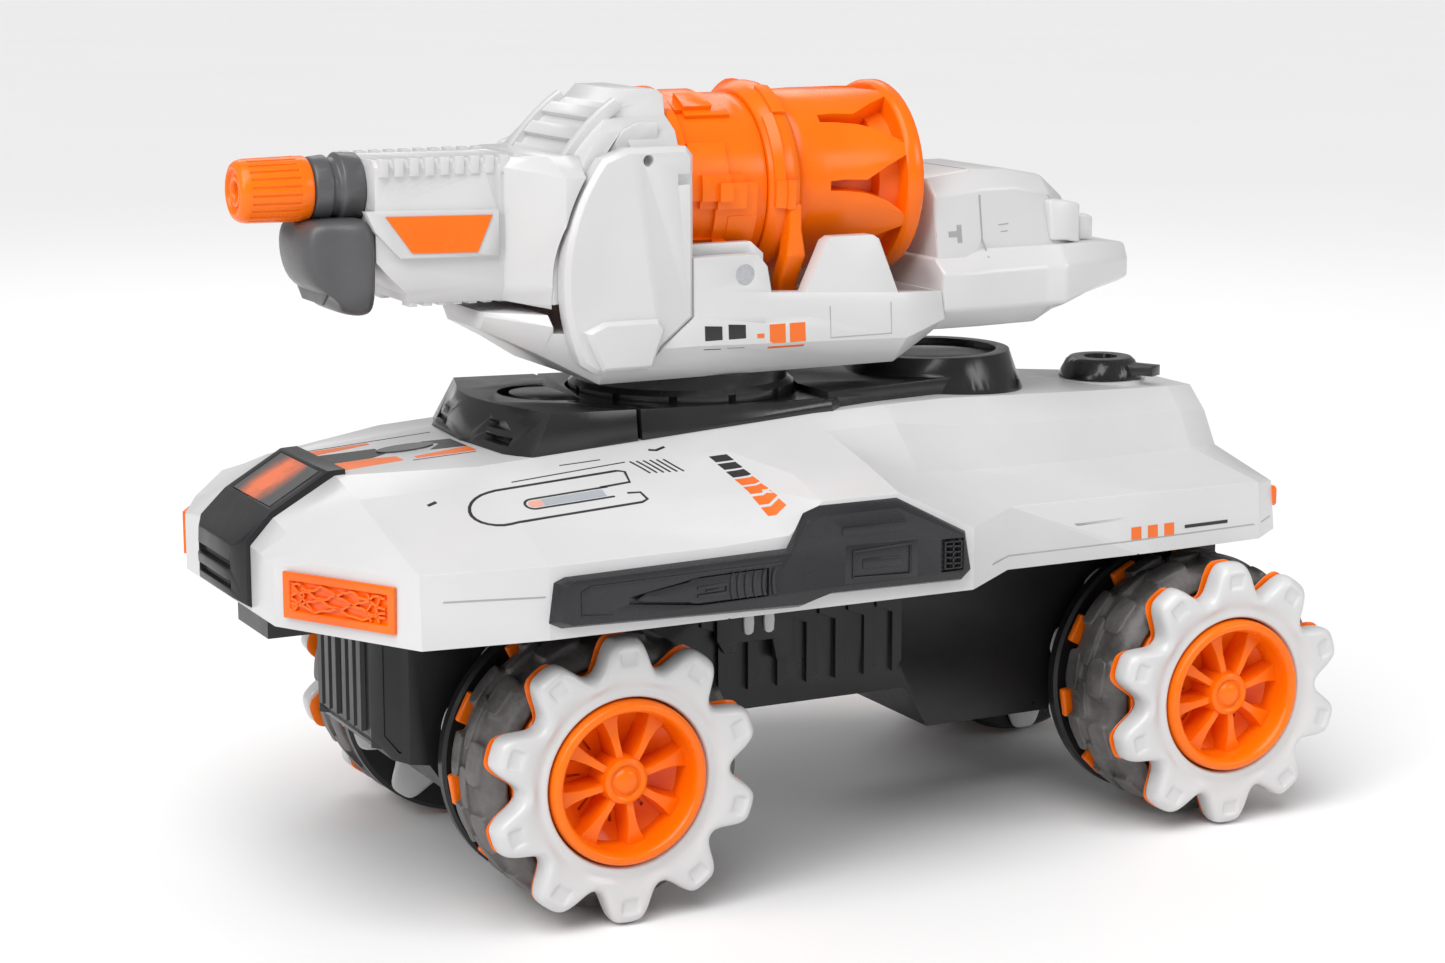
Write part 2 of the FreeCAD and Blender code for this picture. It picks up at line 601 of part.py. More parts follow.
def turret_tray():
    stations = [
        (88.0, [(0, 160), (14, 160), (16, 159), (12, 155), (0, 155)]),
        (74.0, [(0, 160), (28, 160), (30, 157), (22, 148), (0, 148)]),
        (60.0, [(0, 160), (37, 160), (TURRET_Y, 150), (30, TURRET_Z), (0, TURRET_Z)]),
        (34.0, [(0, 165), (37, 165), (TURRET_Y, 150), (30, TURRET_Z), (0, TURRET_Z)]),
        (-34.0, [(0, 161), (37, 161), (TURRET_Y, 148), (30, TURRET_Z), (0, TURRET_Z)]),
        (-49.0, [(0, 160), (32, 160), (34, 152), (26, 147), (0, 147)]),
    ]
    solid = along_x(stations)
    fin = [(-0.0, 160.0), (-8.0, 177.0), (-10.0, 178.2), (-23.0, 178.2), (-25.0, 177.0), (-32.0, 160.0)]
    post = [(34.0, 160.0), (34.0, 174.5), (14.0, 174.5), (11.0, 171.0), (9.0, 160.0)]
    pieces = [solid]
    for side in (1, -1):
        y0, y1 = sorted((side * 32.0, side * 37.0))
        pieces.append(prism_xz(fin, y0, y1))
        pieces.append(prism_xz(post, y0, y1))
    solid = fuse(pieces)
    cavity = [(56.0, 143.0), (50.0, 180.0), (-47.0, 180.0), (-47.0, 149.5), (-38.0, 143.0)]
    tools = [prism_xz(cavity, -30.0, 30.0)]
    tools.append(prism_xz([(44.0, 155.0), (44.0, 180.0), (-47.0, 180.0), (-47.0, 155.0)], -31.4, 31.4))
    tools.append(cyl_y(CHEEK_R + 2.0, -31.4, 31.4, PIVOT_X, PIVOT_Z).common(box(30, 90, -32, 32, 155, 190)))
    tools.append(cyl_y(PIN_R, -40.0, 40.0, PIVOT_X, PIVOT_Z))
    for side in (1, -1):
        y0, y1 = sorted((side * 31.4, side * 40.0))
        tools.append(prism_xz(cheek_outline(0.05), y0, y1))
        tools.append(side_box(70.0, 73.0, side, 31.0, 32.0, 155.0, 160.5))
        tools.append(side_box(-2.0, 12.0, side, TURRET_Y - 0.5, 42.0, 155.0, 159.0))
    return cut(solid, tools)


def cheek_outline(gap):
    arc = arc_points(CHEEK_R + gap, -24.0, 38.0, 14)
    return [(34.0 - gap, 158.0)] + [(44.0, 150.0), (48.0, 144.0 - gap), (64.0, 144.0 - gap)] + arc + \
        [(54.0, 205.5), (36.0, 205.5), (34.0 - gap, 203.0)]


def cheek():
    plate = prism_xz(cheek_outline(0.0), 31.6, 37.6)
    rim = [e for e in plate.Edges if e.BoundBox.YMin > 37.5]
    plate = plate.makeChamfer(1.4, rim)
    boss = prism_xz([(44.0, 155.5), (48.0, 145.0), (63.0, 145.0), (68.0, 156.0), (62.0, 158.5), (46.0, 158.5)],
                    36.0, 40.0)
    boss = boss.makeChamfer(1.0, [e for e in boss.Edges if e.BoundBox.YMin > 39.9])
    solid = fuse([plate, boss])
    return cut(solid, [cyl_y(1.6, 30.0, 40.0, 48.0, 202.0), box(33.0, 39.0, 36.0, 40.0, 195.0, 198.0)])


def turret_rear():
    upper = [
        (-50.5, [(0, 192.5), (20, 192.5), (26, 188), (28, 160), (0, 160)]),
        (-56.0, [(0, 194.5), (21, 194.5), (27, 190), (29, 160), (0, 160)]),
        (-78.0, [(0, 193.5), (20, 193.5), (26, 188), (29, 160), (0, 160)]),
        (-102.0, [(0, 184), (15, 184), (21, 178), (25, 160), (0, 160)]),
        (-108.0, [(0, 176), (12, 176), (17, 172), (20, 160), (0, 160)]),
    ]
    lower = [
        (-49.1, [(0, 166), (30, 166), (32, 160), (33, 153), (26, 147.5), (0, 147.5)]),
        (-62.0, [(0, 168), (30, 168), (33, 162), (33, 153), (27, 147.5), (0, 147.5)]),
        (-88.0, [(0, 168), (27, 168), (31, 162), (31, 153), (24, 147.5), (0, 147.5)]),
        (-108.0, [(0, 170), (23, 170), (27, 166), (27, 157), (20, 152), (0, 152)]),
        (-124.0, [(0, 168), (13, 168), (16, 165), (16, 160), (11, 157), (0, 157)]),
    ]
    solid = fuse([along_x(upper), along_x(lower)])
    tools = []
    for side in (1, -1):
        tools.append(side_box(-57.0, -49.0, side, 25.0, 34.0, 175.0, 176.6))
        tools.append(side_box(-59.0, -57.0, side, 25.0, 34.0, 173.4, 178.2))
        tools.append(side_box(-66.2, -65.2, side, 20.0, 36.0, 168.5, 196.0))
        for i in range(3):
            x = -78.0 + i * 2.4
            tools.append(side_box(x, x + 1.1, side, 28.3, 34.0, 177.0, 181.0))
    for x in (-72.0, -96.0):
        tools.append(box(x, x + 1.0, -40.0, 40.0, 146.0, 149.0))
    return cut(solid, tools)


# ---- gun: all of it pitches about the pivot ----
def gun_hood():
    """Curved shield that wraps the pitch axis, its ribs, and the stepped block on top."""
    outer, inner = CHEEK_R + 1.2, CHEEK_R - 3.2
    band = prism_xz(arc_points(outer, -6.0, 62.0, 18) + arc_points(inner, 62.0, -6.0, 18), -31.0, 31.0)
    block = prism_xz([(34.4, 202.0), (34.4, 218.5), (36.0, 220.0), (45.0, 220.0), (48.5, 216.0), (50.0, 209.0),
                      (48.0, 202.0)], -31.0, 31.0)
    roof = [(-31.0, 160.0), (-31.0, 199.0), (-26.0, 209.0), (-19.5, 213.0), (-17.5, 221.0),
            (17.5, 221.0), (19.5, 213.0), (26.0, 209.0), (31.0, 199.0), (31.0, 160.0)]
    solid = fuse([band, block]).common(prism_yz(roof, 30.0, 80.0))
    ribs = []
    for start in (33.0, 41.0, 49.0):
        bar = arc_points(outer + 1.6, start, start + 4.2, 4) + arc_points(outer - 1.0, start + 4.2, start, 4)
        ribs.append(prism_xz(bar, -17.0, 17.0))
    for side in (1, -1):
        y0, y1 = sorted((side * 17.0, side * 20.5))
        rail = arc_points(outer + 2.2, 31.0, 57.0, 10) + arc_points(outer - 1.0, 57.0, 31.0, 10)
        ribs.append(prism_xz(rail, y0, y1))
    arm = [(9.0, 163.0), (9.0, 174.0), (13.0, 177.5), (33.0, 177.5), (36.0, 186.0), (48.0, 186.0),
           (71.0, 176.0), (71.0, 163.5)]
    ribs += both_sides(prism_xz(arm, 27.2, 30.6))
    solid = fuse([solid] + ribs)
    return cut(solid, [cyl_y(PIN_R + RUN_FIT, -40.0, 40.0, PIVOT_X, PIVOT_Z)])


def barrel_housing():
    root = [
        (58.0, [(0, 203.0), (24, 203.0), (37, 198.0), (37.0, 166.0), (34, 160.5), (0, 160.5)]),
        (72.0, [(0, 203.0), (24, 203.0), (36, 198.0), (36.0, 168.0), (33, 161.5), (0, 161.5)]),
        (82.0, [(0, 202.5), (14, 202.5), (16, 200.0), (16, 168.0), (14, 163.0), (0, 163.0)]),
        (119.0, [(0, 203.0), (13, 203.0), (15, 201.0), (15, 168.0), (13, 164.0), (0, 164.0)]),
    ]
    solid = along_x(root)
    extra = []
    for side in (1, -1):
        y0, y1 = sorted((side * 14.0, side * 17.4))
        frame_side = [(84.0, 188.5), (122.5, 189.5), (120.0, 184.0), (113.0, 176.5), (84.0, 175.8)]
        extra.append(prism_xz(frame_side, y0, y1))
        for i in range(10):
            x = 76.0 + i * 4.4
            extra.append(side_box(x, x + 2.4, side, 12.0, 16.4, 198.6, 203.4))
            extra.append(side_box(x, x + 2.4, side, 8.0, 13.2, 162.6, 165.0))
    solid = fuse([solid] + extra)
    tools = [cyl_y(CHEEK_R + 1.25 + RUN_FIT, -50.0, 50.0, PIVOT_X, PIVOT_Z)]
    tools.append(prism_xz([(119.5, 176.0), (119.5, 150.0), (106.0, 150.0), (110.0, 166.0), (116.0, 172.0)],
                          -20.0, 20.0))
    rail_room = cyl_y(CHEEK_R + 3.6, -20.7, 20.7, PIVOT_X, PIVOT_Z)
    tools.append(rail_room.common(box(30.0, 90.0, -21.0, 21.0, 194.0, 210.0)))
    tools.append(cyl_x(4.6, 60.0, 125.0, 0, BORE_Z))
    for side in (1, -1):
        tools.append(prism_xz(LABEL_OUTLINE, *sorted((side * 16.6, side * 20.0))))
    return cut(solid, tools)


LABEL_OUTLINE = [(86.0, 187.2), (117.0, 188.0), (109.5, 177.8), (90.5, 177.2)]


def label_plates():
    plate = prism_xz(LABEL_OUTLINE, 16.65, 17.7)
    return Part.makeCompound(both_sides(plate))


def muzzle_cap():
    body = revolve_x([(133.5, 5.0), (133.5, 8.9), (137.0, 9.0), (151.5, 8.4), (153.6, 7.4), (154.0, 6.0),
                      (153.2, 5.6), (153.2, 2.6), (133.5, 2.6)], BORE_Z)
    grooves = []
    for i in range(12):
        y, z = polar(9.2, i * 30.0)
        grooves.append(cyl_x(0.6, 138.0, 153.0, y, BORE_Z + z))
    return cut(body, grooves)


def barrel_collar():
    return revolve_x([(119.2, 2.6), (119.2, 9.2), (125.0, 9.6), (126.0, 8.2), (127.6, 8.2), (128.4, 9.0),
                      (132.6, 8.6), (133.4, 7.6), (133.4, 2.6)], BORE_Z)


def recoil_pod():
    """Grey pod slung under the barrel collar, two faceted halves round a middle band."""
    stations = [
        (137.0, [(0, 184.0), (7, 184.0), (9, 178.0), (5, 171.0), (0, 171.0)]),
        (131.0, [(0, 185.5), (10, 185.5), (14, 176.0), (8, 164.5), (0, 164.5)]),
        (119.8, [(0, 185.5), (12, 185.5), (16, 176.0), (10, 162.5), (0, 162.5)]),
    ]
    pod = along_x(stations)
    band = prism_yz([(-12.6, 185.6), (-16.8, 176.0), (-10.6, 161.8), (10.6, 161.8), (16.8, 176.0),
                     (12.6, 185.6)], 120.6, 124.6)
    return fuse([pod, band])


def drum_collar():
    body = revolve_x([(34.0, 18.0), (34.0, 28.4), (30.5, 28.4), (30.0, 26.6), (5.2, 26.2), (5.2, SLEEVE_R),
                      (-4.6, SLEEVE_R), (-4.6, 16.5), (5.2, 16.5), (5.2, SPINDLE_R), (8.0, SPINDLE_R),
                      (8.0, 23.6), (30.0, 23.6), (30.0, 18.0)], DRUM_Z)
    lugs = []
    for i in range(8):
        lug = box(9.0, 22.0 if i % 2 else 27.0, -6.0, 6.0, 25.0, 27.9)
        lug.rotate(V(0, 0, 0), V(1, 0, 0), i * 45.0 + 20.0)
        lug.translate(V(0, 0, DRUM_Z))
        lugs.append(lug)
    return fuse([body] + lugs)


def lock_ring():
    bore = SLEEVE_R + RUN_FIT
    body = revolve_x([(4.9, bore), (4.9, 27.8), (3.0, 29.4), (-3.5, 29.4), (-5.0, 27.6), (-5.0, bore)], DRUM_Z)
    pieces = [body]
    for i in range(8):
        step = box(-4.6, -1.0, -3.4, 3.4, 28.0, 30.2)
        step.rotate(V(0, 0, 0), V(1, 0, 0), i * 45.0)
        step.translate(V(0, 0, DRUM_Z))
        pieces.append(step)
    lever = box(-5.0, 2.0, -3.4, 3.4, 27.0, 34.6)
    lever.rotate(V(0, 0, 0), V(1, 0, 0), -142.0)
    lever.translate(V(0, 0, DRUM_Z))
    return fuse(pieces + [lever])


def drum_cage():
    bore = SPINDLE_R + RUN_FIT
    body = revolve_x([(-5.4, 19.0), (-5.4, 25.4), (-9.0, 26.6), (-40.0, 26.6), (-41.0, DRUM_R), (-45.0, DRUM_R),
                      (-45.6, 27.0), (-45.6, bore), (-43.0, bore), (-43.0, 23.8), (-8.0, 23.8), (-8.0, 19.0)],
                     DRUM_Z)
    tools = []
    for i in range(8):
        slot = [V(-37.0, -1.8, 20.0), V(-37.0, 1.8, 20.0), V(-15.0, 3.6, 20.0), V(-15.0, -3.6, 20.0)]
        slot = face(slot).extrude(V(0, 0, 10.0))
        slot.rotate(V(0, 0, 0), V(1, 0, 0), i * 45.0)
        slot.translate(V(0, 0, DRUM_Z))
        tools.append(slot)
    return cut(body, tools)


def drum_spindle():
    head = cyl_x(5.0, -46.6, -45.8, 0, DRUM_Z)
    return fuse([cyl_x(SPINDLE_R, -46.2, 7.9, 0, DRUM_Z), head])


def trunnion_pins():
    return Part.makeCompound(both_sides(cyl_y(PIN_R, 27.4, 36.8, PIVOT_X, PIVOT_Z)))


BODY_NODES = (
    ("lower_chassis", lower_chassis), ("upper_shell", upper_shell), ("nose_cover", nose_cover),
    ("windscreen", lambda: windscreen_block(0.0)), ("tail_lamps", tail_lamps), ("deck_cover", deck_cover),
    ("battery_pack", battery_pack), ("battery_door", battery_door), ("circuit_board", circuit_board),
    ("case_screws", case_screws), ("drive_motors", drive_motors), ("yaw_motor", yaw_motor),
    ("yaw_pinion", yaw_pinion), ("turret_gear", turret_gear), ("turntable", turntable),
    ("turret_tray", turret_tray), ("turret_rear", turret_rear), ("gun_hood", gun_hood),
    ("barrel_housing", barrel_housing), ("muzzle_cap", muzzle_cap), ("barrel_collar", barrel_collar),
    ("recoil_pod", recoil_pod), ("label_plates", label_plates), ("drum_collar", drum_collar),
    ("lock_ring", lock_ring), ("drum_cage", drum_cage), ("drum_spindle", drum_spindle),
    ("trunnion_pins", trunnion_pins),
    ("power_knob", power_knob))

HANDED_NODES = (("headlamp", headlamp), ("side_skirt", side_skirt), ("turret_cheek", cheek))


def main():
    os.makedirs("parts", exist_ok=True)
    for node, maker in BODY_NODES:
        save(maker(), node)
    for node, maker in HANDED_NODES:
        solid = maker()
        save(solid, node + "_left")
        save(mirror_y(solid), node + "_right")
    write_wheels()


main()
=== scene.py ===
import json
import math
import bpy
import bmesh
from mathutils import Matrix, Vector

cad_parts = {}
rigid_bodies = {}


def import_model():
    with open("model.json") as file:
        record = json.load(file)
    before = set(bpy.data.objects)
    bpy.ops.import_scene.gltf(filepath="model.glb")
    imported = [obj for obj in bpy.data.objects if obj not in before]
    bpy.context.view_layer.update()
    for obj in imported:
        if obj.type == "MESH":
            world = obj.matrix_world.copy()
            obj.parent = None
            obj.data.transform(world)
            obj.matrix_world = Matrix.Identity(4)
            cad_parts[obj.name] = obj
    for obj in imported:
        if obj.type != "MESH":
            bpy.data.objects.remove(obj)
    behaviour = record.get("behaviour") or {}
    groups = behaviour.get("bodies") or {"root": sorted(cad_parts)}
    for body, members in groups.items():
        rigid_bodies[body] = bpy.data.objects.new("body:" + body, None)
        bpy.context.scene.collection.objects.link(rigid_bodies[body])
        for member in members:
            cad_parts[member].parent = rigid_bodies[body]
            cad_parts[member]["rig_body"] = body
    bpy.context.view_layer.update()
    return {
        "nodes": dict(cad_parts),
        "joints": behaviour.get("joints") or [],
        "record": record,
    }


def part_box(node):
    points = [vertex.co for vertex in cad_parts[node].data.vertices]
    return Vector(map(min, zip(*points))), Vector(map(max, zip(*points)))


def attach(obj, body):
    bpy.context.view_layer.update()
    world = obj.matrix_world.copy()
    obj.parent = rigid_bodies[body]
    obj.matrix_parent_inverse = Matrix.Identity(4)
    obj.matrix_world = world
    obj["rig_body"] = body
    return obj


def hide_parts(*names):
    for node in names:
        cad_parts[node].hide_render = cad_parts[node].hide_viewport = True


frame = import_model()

# Toy armoured car: +X is the nose, +Y the car's left side, +Z up. Lengths in metres.
MM = 0.001
nodes = frame["nodes"]
joints = {j["name"]: j for j in frame["joints"]}


def middle(node):
    low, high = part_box(node)
    return (Vector(low) + Vector(high)) / 2.0


SIDES = ((1.0, "left"), (-1.0, "right"))
TEETH = 10


# ---------------------------------------------------------------- materials
def new_material(name):
    material = bpy.data.materials.new(name)
    material.use_nodes = True
    tree = material.node_tree
    return material, tree, tree.nodes["Principled BSDF"]


def add(tree, kind, **values):
    node = tree.nodes.new(kind)
    for key, value in values.items():
        if key in node.inputs:
            node.inputs[key].default_value = value
        else:
            setattr(node, key, value)
    return node


def noise(tree, coords, scale, detail=2.0, roughness=0.5):
    node = add(tree, "ShaderNodeTexNoise", Scale=scale, Detail=detail, Roughness=roughness)
    tree.links.new(coords, node.inputs["Vector"])
    return node.outputs["Fac"]


def ramp(tree, value, low, high, start, end):
    node = add(tree, "ShaderNodeMapRange")
    node.inputs["From Min"].default_value = low
    node.inputs["From Max"].default_value = high
    node.inputs["To Min"].default_value = start
    node.inputs["To Max"].default_value = end
    tree.links.new(value, node.inputs["Value"])
    return node.outputs["Result"]


def tint(tree, factor, dark, light):
    node = add(tree, "ShaderNodeMix", data_type="RGBA")
    node.inputs["A"].default_value = (*dark, 1.0)
    node.inputs["B"].default_value = (*light, 1.0)
    tree.links.new(factor, node.inputs["Factor"])
    return node.outputs["Result"]


def object_coords(tree):
    return add(tree, "ShaderNodeTexCoord").outputs["Object"]


def moulded(name, dark, light, rough, spread, grain, depth, swell=0.0, coat=0.0, shine=0.5):
    """Injection-moulded plastic: faint colour drift, uneven gloss, a fine spark grain and slight sink."""
    material, tree, shader = new_material(name)
    coords = object_coords(tree)
    drift = noise(tree, coords, 26.0, 3.0)
    patches = noise(tree, coords, 90.0, 4.0, 0.6)
    colour = tint(tree, ramp(tree, drift, 0.3, 0.7, 0.0, 1.0), dark, light)
    tree.links.new(colour, shader.inputs["Base Color"])
    gloss = ramp(tree, patches, 0.3, 0.75, rough - spread, rough + spread)
    tree.links.new(gloss, shader.inputs["Roughness"])
    fine = noise(tree, coords, grain, 2.0)
    bump = add(tree, "ShaderNodeBump", Strength=depth, Distance=0.0002)
    tree.links.new(fine, bump.inputs["Height"])
    if swell:
        sink = add(tree, "ShaderNodeBump", Strength=swell, Distance=0.0012)
        tree.links.new(noise(tree, coords, 38.0, 1.0), sink.inputs["Height"])
        tree.links.new(sink.outputs["Normal"], bump.inputs["Normal"])
    tree.links.new(bump.outputs["Normal"], shader.inputs["Normal"])
    shader.inputs["Coat Weight"].default_value = coat
    shader.inputs["Coat Roughness"].default_value = 0.12
    shader.inputs["Specular IOR Level"].default_value = shine
    return material


def rubber(name):
    """Soft dark vinyl with a cloudy translucent look, tone that drifts lighter and darker in random clouds, and a
    scuffed tread.
    """
    material, tree, shader = new_material(name)
    coords = object_coords(tree)
    cloud = noise(tree, coords, 60.0, 5.0, 0.62)
    colour = tint(tree, ramp(tree, cloud, 0.32, 0.72, 0.0, 1.0), (0.052, 0.049, 0.048), (0.175, 0.165, 0.160))
    tree.links.new(colour, shader.inputs["Base Color"])
    tree.links.new(ramp(tree, cloud, 0.3, 0.7, 0.34, 0.58), shader.inputs["Roughness"])
    pits = add(tree, "ShaderNodeTexVoronoi", Scale=620.0)
    tree.links.new(coords, pits.inputs["Vector"])
    bump = add(tree, "ShaderNodeBump", Strength=0.32, Distance=0.0004)
    tree.links.new(pits.outputs["Distance"], bump.inputs["Height"])
    tree.links.new(bump.outputs["Normal"], shader.inputs["Normal"])
    return material


def polished_steel(name):
    material, tree, shader = new_material(name)
    coords = object_coords(tree)
    turned = add(tree, "ShaderNodeTexNoise", Scale=900.0, Detail=3.0)
    stretch = add(tree, "ShaderNodeMapping")
    stretch.inputs["Scale"].default_value = (1.0, 0.05, 1.0)
    tree.links.new(coords, stretch.inputs["Vector"])
    tree.links.new(stretch.outputs["Vector"], turned.inputs["Vector"])
    tree.links.new(tint(tree, turned.outputs["Fac"], (0.42, 0.43, 0.45), (0.62, 0.63, 0.65)),
                   shader.inputs["Base Color"])
    tree.links.new(ramp(tree, turned.outputs["Fac"], 0.3, 0.7, 0.22, 0.4), shader.inputs["Roughness"])
    shader.inputs["Metallic"].default_value = 1.0
    return material


def smoked_pane(name):
    """Tinted pane: near-black with a painted warm orange reflection, a soft round patch near the windscreen's
    middle, mottled by noise.
    """
    material, tree, shader = new_material(name)
    coords = object_coords(tree)
    # painted reflection: a spherical spot mapped round the windscreen's middle sets where the orange patch lies
    spot = add(tree, "ShaderNodeMapping")
    centre = middle("windscreen")
    spot.inputs["Location"].default_value = (-centre.x * 60.0, 0.18, -centre.z * 60.0)
    spot.inputs["Scale"].default_value = (60.0, 85.0, 60.0)
    tree.links.new(coords, spot.inputs["Vector"])
    painted_reflection_ball = add(tree, "ShaderNodeTexGradient", gradient_type="SPHERICAL")
    tree.links.new(spot.outputs["Vector"], painted_reflection_ball.inputs["Vector"])
    cloud = noise(tree, coords, 120.0, 4.0, 0.6)
    both = add(tree, "ShaderNodeMath", operation="MULTIPLY")
    tree.links.new(painted_reflection_ball.outputs["Fac"], both.inputs[0])
    tree.links.new(ramp(tree, cloud, 0.3, 0.7, 0.6, 2.0), both.inputs[1])
    # the orange end of this tint is the painted reflection, not a colour of the pane itself
    tree.links.new(tint(tree, both.outputs["Value"], (0.035, 0.034, 0.038), (0.95, 0.16, 0.02)),
                   shader.inputs["Base Color"])
    tree.links.new(ramp(tree, cloud, 0.3, 0.7, 0.06, 0.16), shader.inputs["Roughness"])
    shader.inputs["Coat Weight"].default_value = 1.0
    shader.inputs["Coat Roughness"].default_value = 0.04
    return material


def printed(name, colour, rough=0.38):
    """Pad-printed ink: dense colour with slightly thin, mottled coverage."""
    return moulded(name, tuple(c * 0.82 for c in colour), colour, rough, 0.06, 1800.0, 0.15)


WHITE = moulded("white_abs", (0.60, 0.598, 0.602), (0.64, 0.638, 0.640), 0.29, 0.015, 2600.0, 0.05, coat=0.12)
GUARD = moulded("satin_black_abs", (0.014, 0.014, 0.016), (0.024, 0.024, 0.027), 0.28, 0.04, 2600.0, 0.10,
                shine=0.42)
DARK = moulded("charcoal_abs", (0.008, 0.0083, 0.0092), (0.015, 0.0154, 0.017), 0.33, 0.06, 3000.0, 0.20,
               shine=0.36)
BLACK = moulded("gloss_black_abs", (0.010, 0.010, 0.011), (0.020, 0.020, 0.021), 0.20, 0.07, 2200.0,
                0.12, 0.12)
GREY = moulded("grey_abs", (0.070, 0.070, 0.074), (0.105, 0.104, 0.108), 0.34, 0.08, 2400.0, 0.18, 0.08)
ORANGE = moulded("orange_abs", (0.90, 0.150, 0.001), (1.0, 0.185, 0.002), 0.25, 0.06, 2400.0, 0.06, 0.03,
                 shine=0.32)
LENS = moulded("orange_lens", (0.85, 0.110, 0.001), (0.98, 0.165, 0.002), 0.16, 0.05, 1600.0, 0.08, 0.06)
RUBBER = rubber("tyre_vinyl")
STEEL = polished_steel("turned_steel")
PANE = smoked_pane("smoked_pane")
NYLON = moulded("natural_nylon", (0.60, 0.58, 0.52), (0.72, 0.70, 0.64), 0.42, 0.06, 1800.0, 0.2)
BOARD = moulded("green_board", (0.012, 0.085, 0.030), (0.02, 0.13, 0.045), 0.35, 0.08, 900.0, 0.2)
WRAP = moulded("battery_wrap", (0.02, 0.10, 0.22), (0.03, 0.14, 0.30), 0.24, 0.05, 700.0, 0.15, 0.2)
SHADOW_GREY = moulded("groove_shade", (0.32, 0.32, 0.325), (0.38, 0.38, 0.385), 0.5, 0.05, 1500.0, 0.1)
INK_BLACK = printed("ink_black", (0.018, 0.018, 0.020))
INK_ORANGE = printed("ink_orange", (0.90, 0.17, 0.015))
INK_GREY = printed("ink_grey", (0.42, 0.45, 0.49))
INK_ROSE = printed("ink_rose", (0.86, 0.42, 0.33))
LAID_SLOT = {INK_BLACK: "black_plastic", INK_ORANGE: "orange_plastic", INK_GREY: "grey_plastic",
             INK_ROSE: "orange_plastic", SHADOW_GREY: "white_shell", PANE: "smoked_pane"}

FINISHES = {
    "white_shell": WHITE, "dark_plastic": DARK, "black_plastic": BLACK, "grey_plastic": GREY,
    "orange_plastic": ORANGE, "orange_lens": LENS, "smoked_pane": PANE, "tyre_rubber": RUBBER,
    "steel": STEEL, "board_green": BOARD, "battery_wrap": WRAP, "nylon": NYLON}


def node_slots():
    """The finish of each CAD node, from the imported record."""
    return {part["node"]: part["material_slot"] for part in frame["record"]["subparts"]}


SLOT_OF = node_slots()


def dress(obj, material):
    obj.data.materials.clear()
    obj.data.materials.append(material)


# ---------------------------------------------------------------- modelling helpers
def clear_selection():
    if bpy.context.object and bpy.context.object.mode != "OBJECT":
        bpy.ops.object.mode_set(mode="OBJECT")
    bpy.ops.object.select_all(action="DESELECT")


def only(obj):
    clear_selection()
    obj.select_set(True)
    bpy.context.view_layer.objects.active = obj


def finish_piece(obj, material, angle=35.0):
    only(obj)
    bpy.ops.object.transform_apply(location=True, rotation=True, scale=True)
    bpy.ops.object.shade_smooth_by_angle(angle=math.radians(angle))
    dress(obj, material)
    return obj


def place(obj, body, slot, *stands_for):
    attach(obj, body)
    if stands_for:
        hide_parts(*stands_for)
    return obj


def apply_modifier(obj, kind, name="m", **values):
    modifier = obj.modifiers.new(name, kind)
    for key, value in values.items():
        setattr(modifier, key, value)
    only(obj)
    bpy.ops.object.modifier_apply(modifier=name)


def merged_copy(node, flat=1.2):
    """Copy of a CAD node's mesh with its loose triangles joined and its flat faces made whole."""
    mesh = nodes[node].data.copy()
    obj = bpy.data.objects.new(node + "_moulded", mesh)
    bpy.context.scene.collection.objects.link(obj)
    edit(obj)
    bpy.ops.mesh.select_all(action="SELECT")
    bpy.ops.mesh.remove_doubles(threshold=0.00001)
    bpy.ops.mesh.dissolve_limited(angle_limit=math.radians(flat))
    leave()
    return obj


def soften(node, width, segments=2, angle=28.0):
    """A moulded piece's real edges are rounded: the CAD node's shape with its edges rounded over."""
    obj = merged_copy(node)
    apply_modifier(obj, "BEVEL", width=width * MM, segments=segments, limit_method="ANGLE",
                   angle_limit=math.radians(angle),
                   miter_outer="MITER_ARC" if segments > 1 else "MITER_SHARP")
    finish_piece(obj, FINISHES[SLOT_OF[node]])
    return place(obj, nodes[node]["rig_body"], SLOT_OF[node], node)


# ---------------------------------------------------------------- shaping by hand
def edit(obj):
    only(obj)
    bpy.ops.object.mode_set(mode="EDIT")
    bpy.ops.mesh.select_mode(type="VERT")


def leave():
    bpy.ops.object.mode_set(mode="OBJECT")


def side_plane(side, y):
    """Turns a drawing (forward, up, outward) into its place on one side of the car, y mm from the middle."""
    return Matrix(((1.0, 0.0, 0.0, 0.0), (0.0, 0.0, side, side * y * MM), (0.0, 1.0, 0.0, 0.0),
                   (0.0, 0.0, 0.0, 1.0)))


def rect(x0, x1, y0, y1):
    return [(x0, y0), (x1, y0), (x1, y1), (x0, y1)]


def pick(obj, test, kind="verts"):
    """In edit mode, selects the vertices or faces whose place in millimetres passes the test."""
    bpy.ops.mesh.select_all(action="DESELECT")
    bpy.ops.mesh.select_mode(type="FACE" if kind == "faces" else "VERT")
    bm = bmesh.from_edit_mesh(obj.data)
    chosen = 0
    for item in getattr(bm, kind):
        where = item.calc_center_median() if kind == "faces" else item.co
        if test(where / MM):
            item.select_set(True)
            chosen += 1
    bm.select_flush_mode()
    bmesh.update_edit_mesh(obj.data)
    return chosen


def tidy_mesh():
    bpy.ops.mesh.select_all(action="SELECT")
    bpy.ops.mesh.remove_doubles(threshold=0.000005)
    bpy.ops.mesh.normals_make_consistent(inside=False)


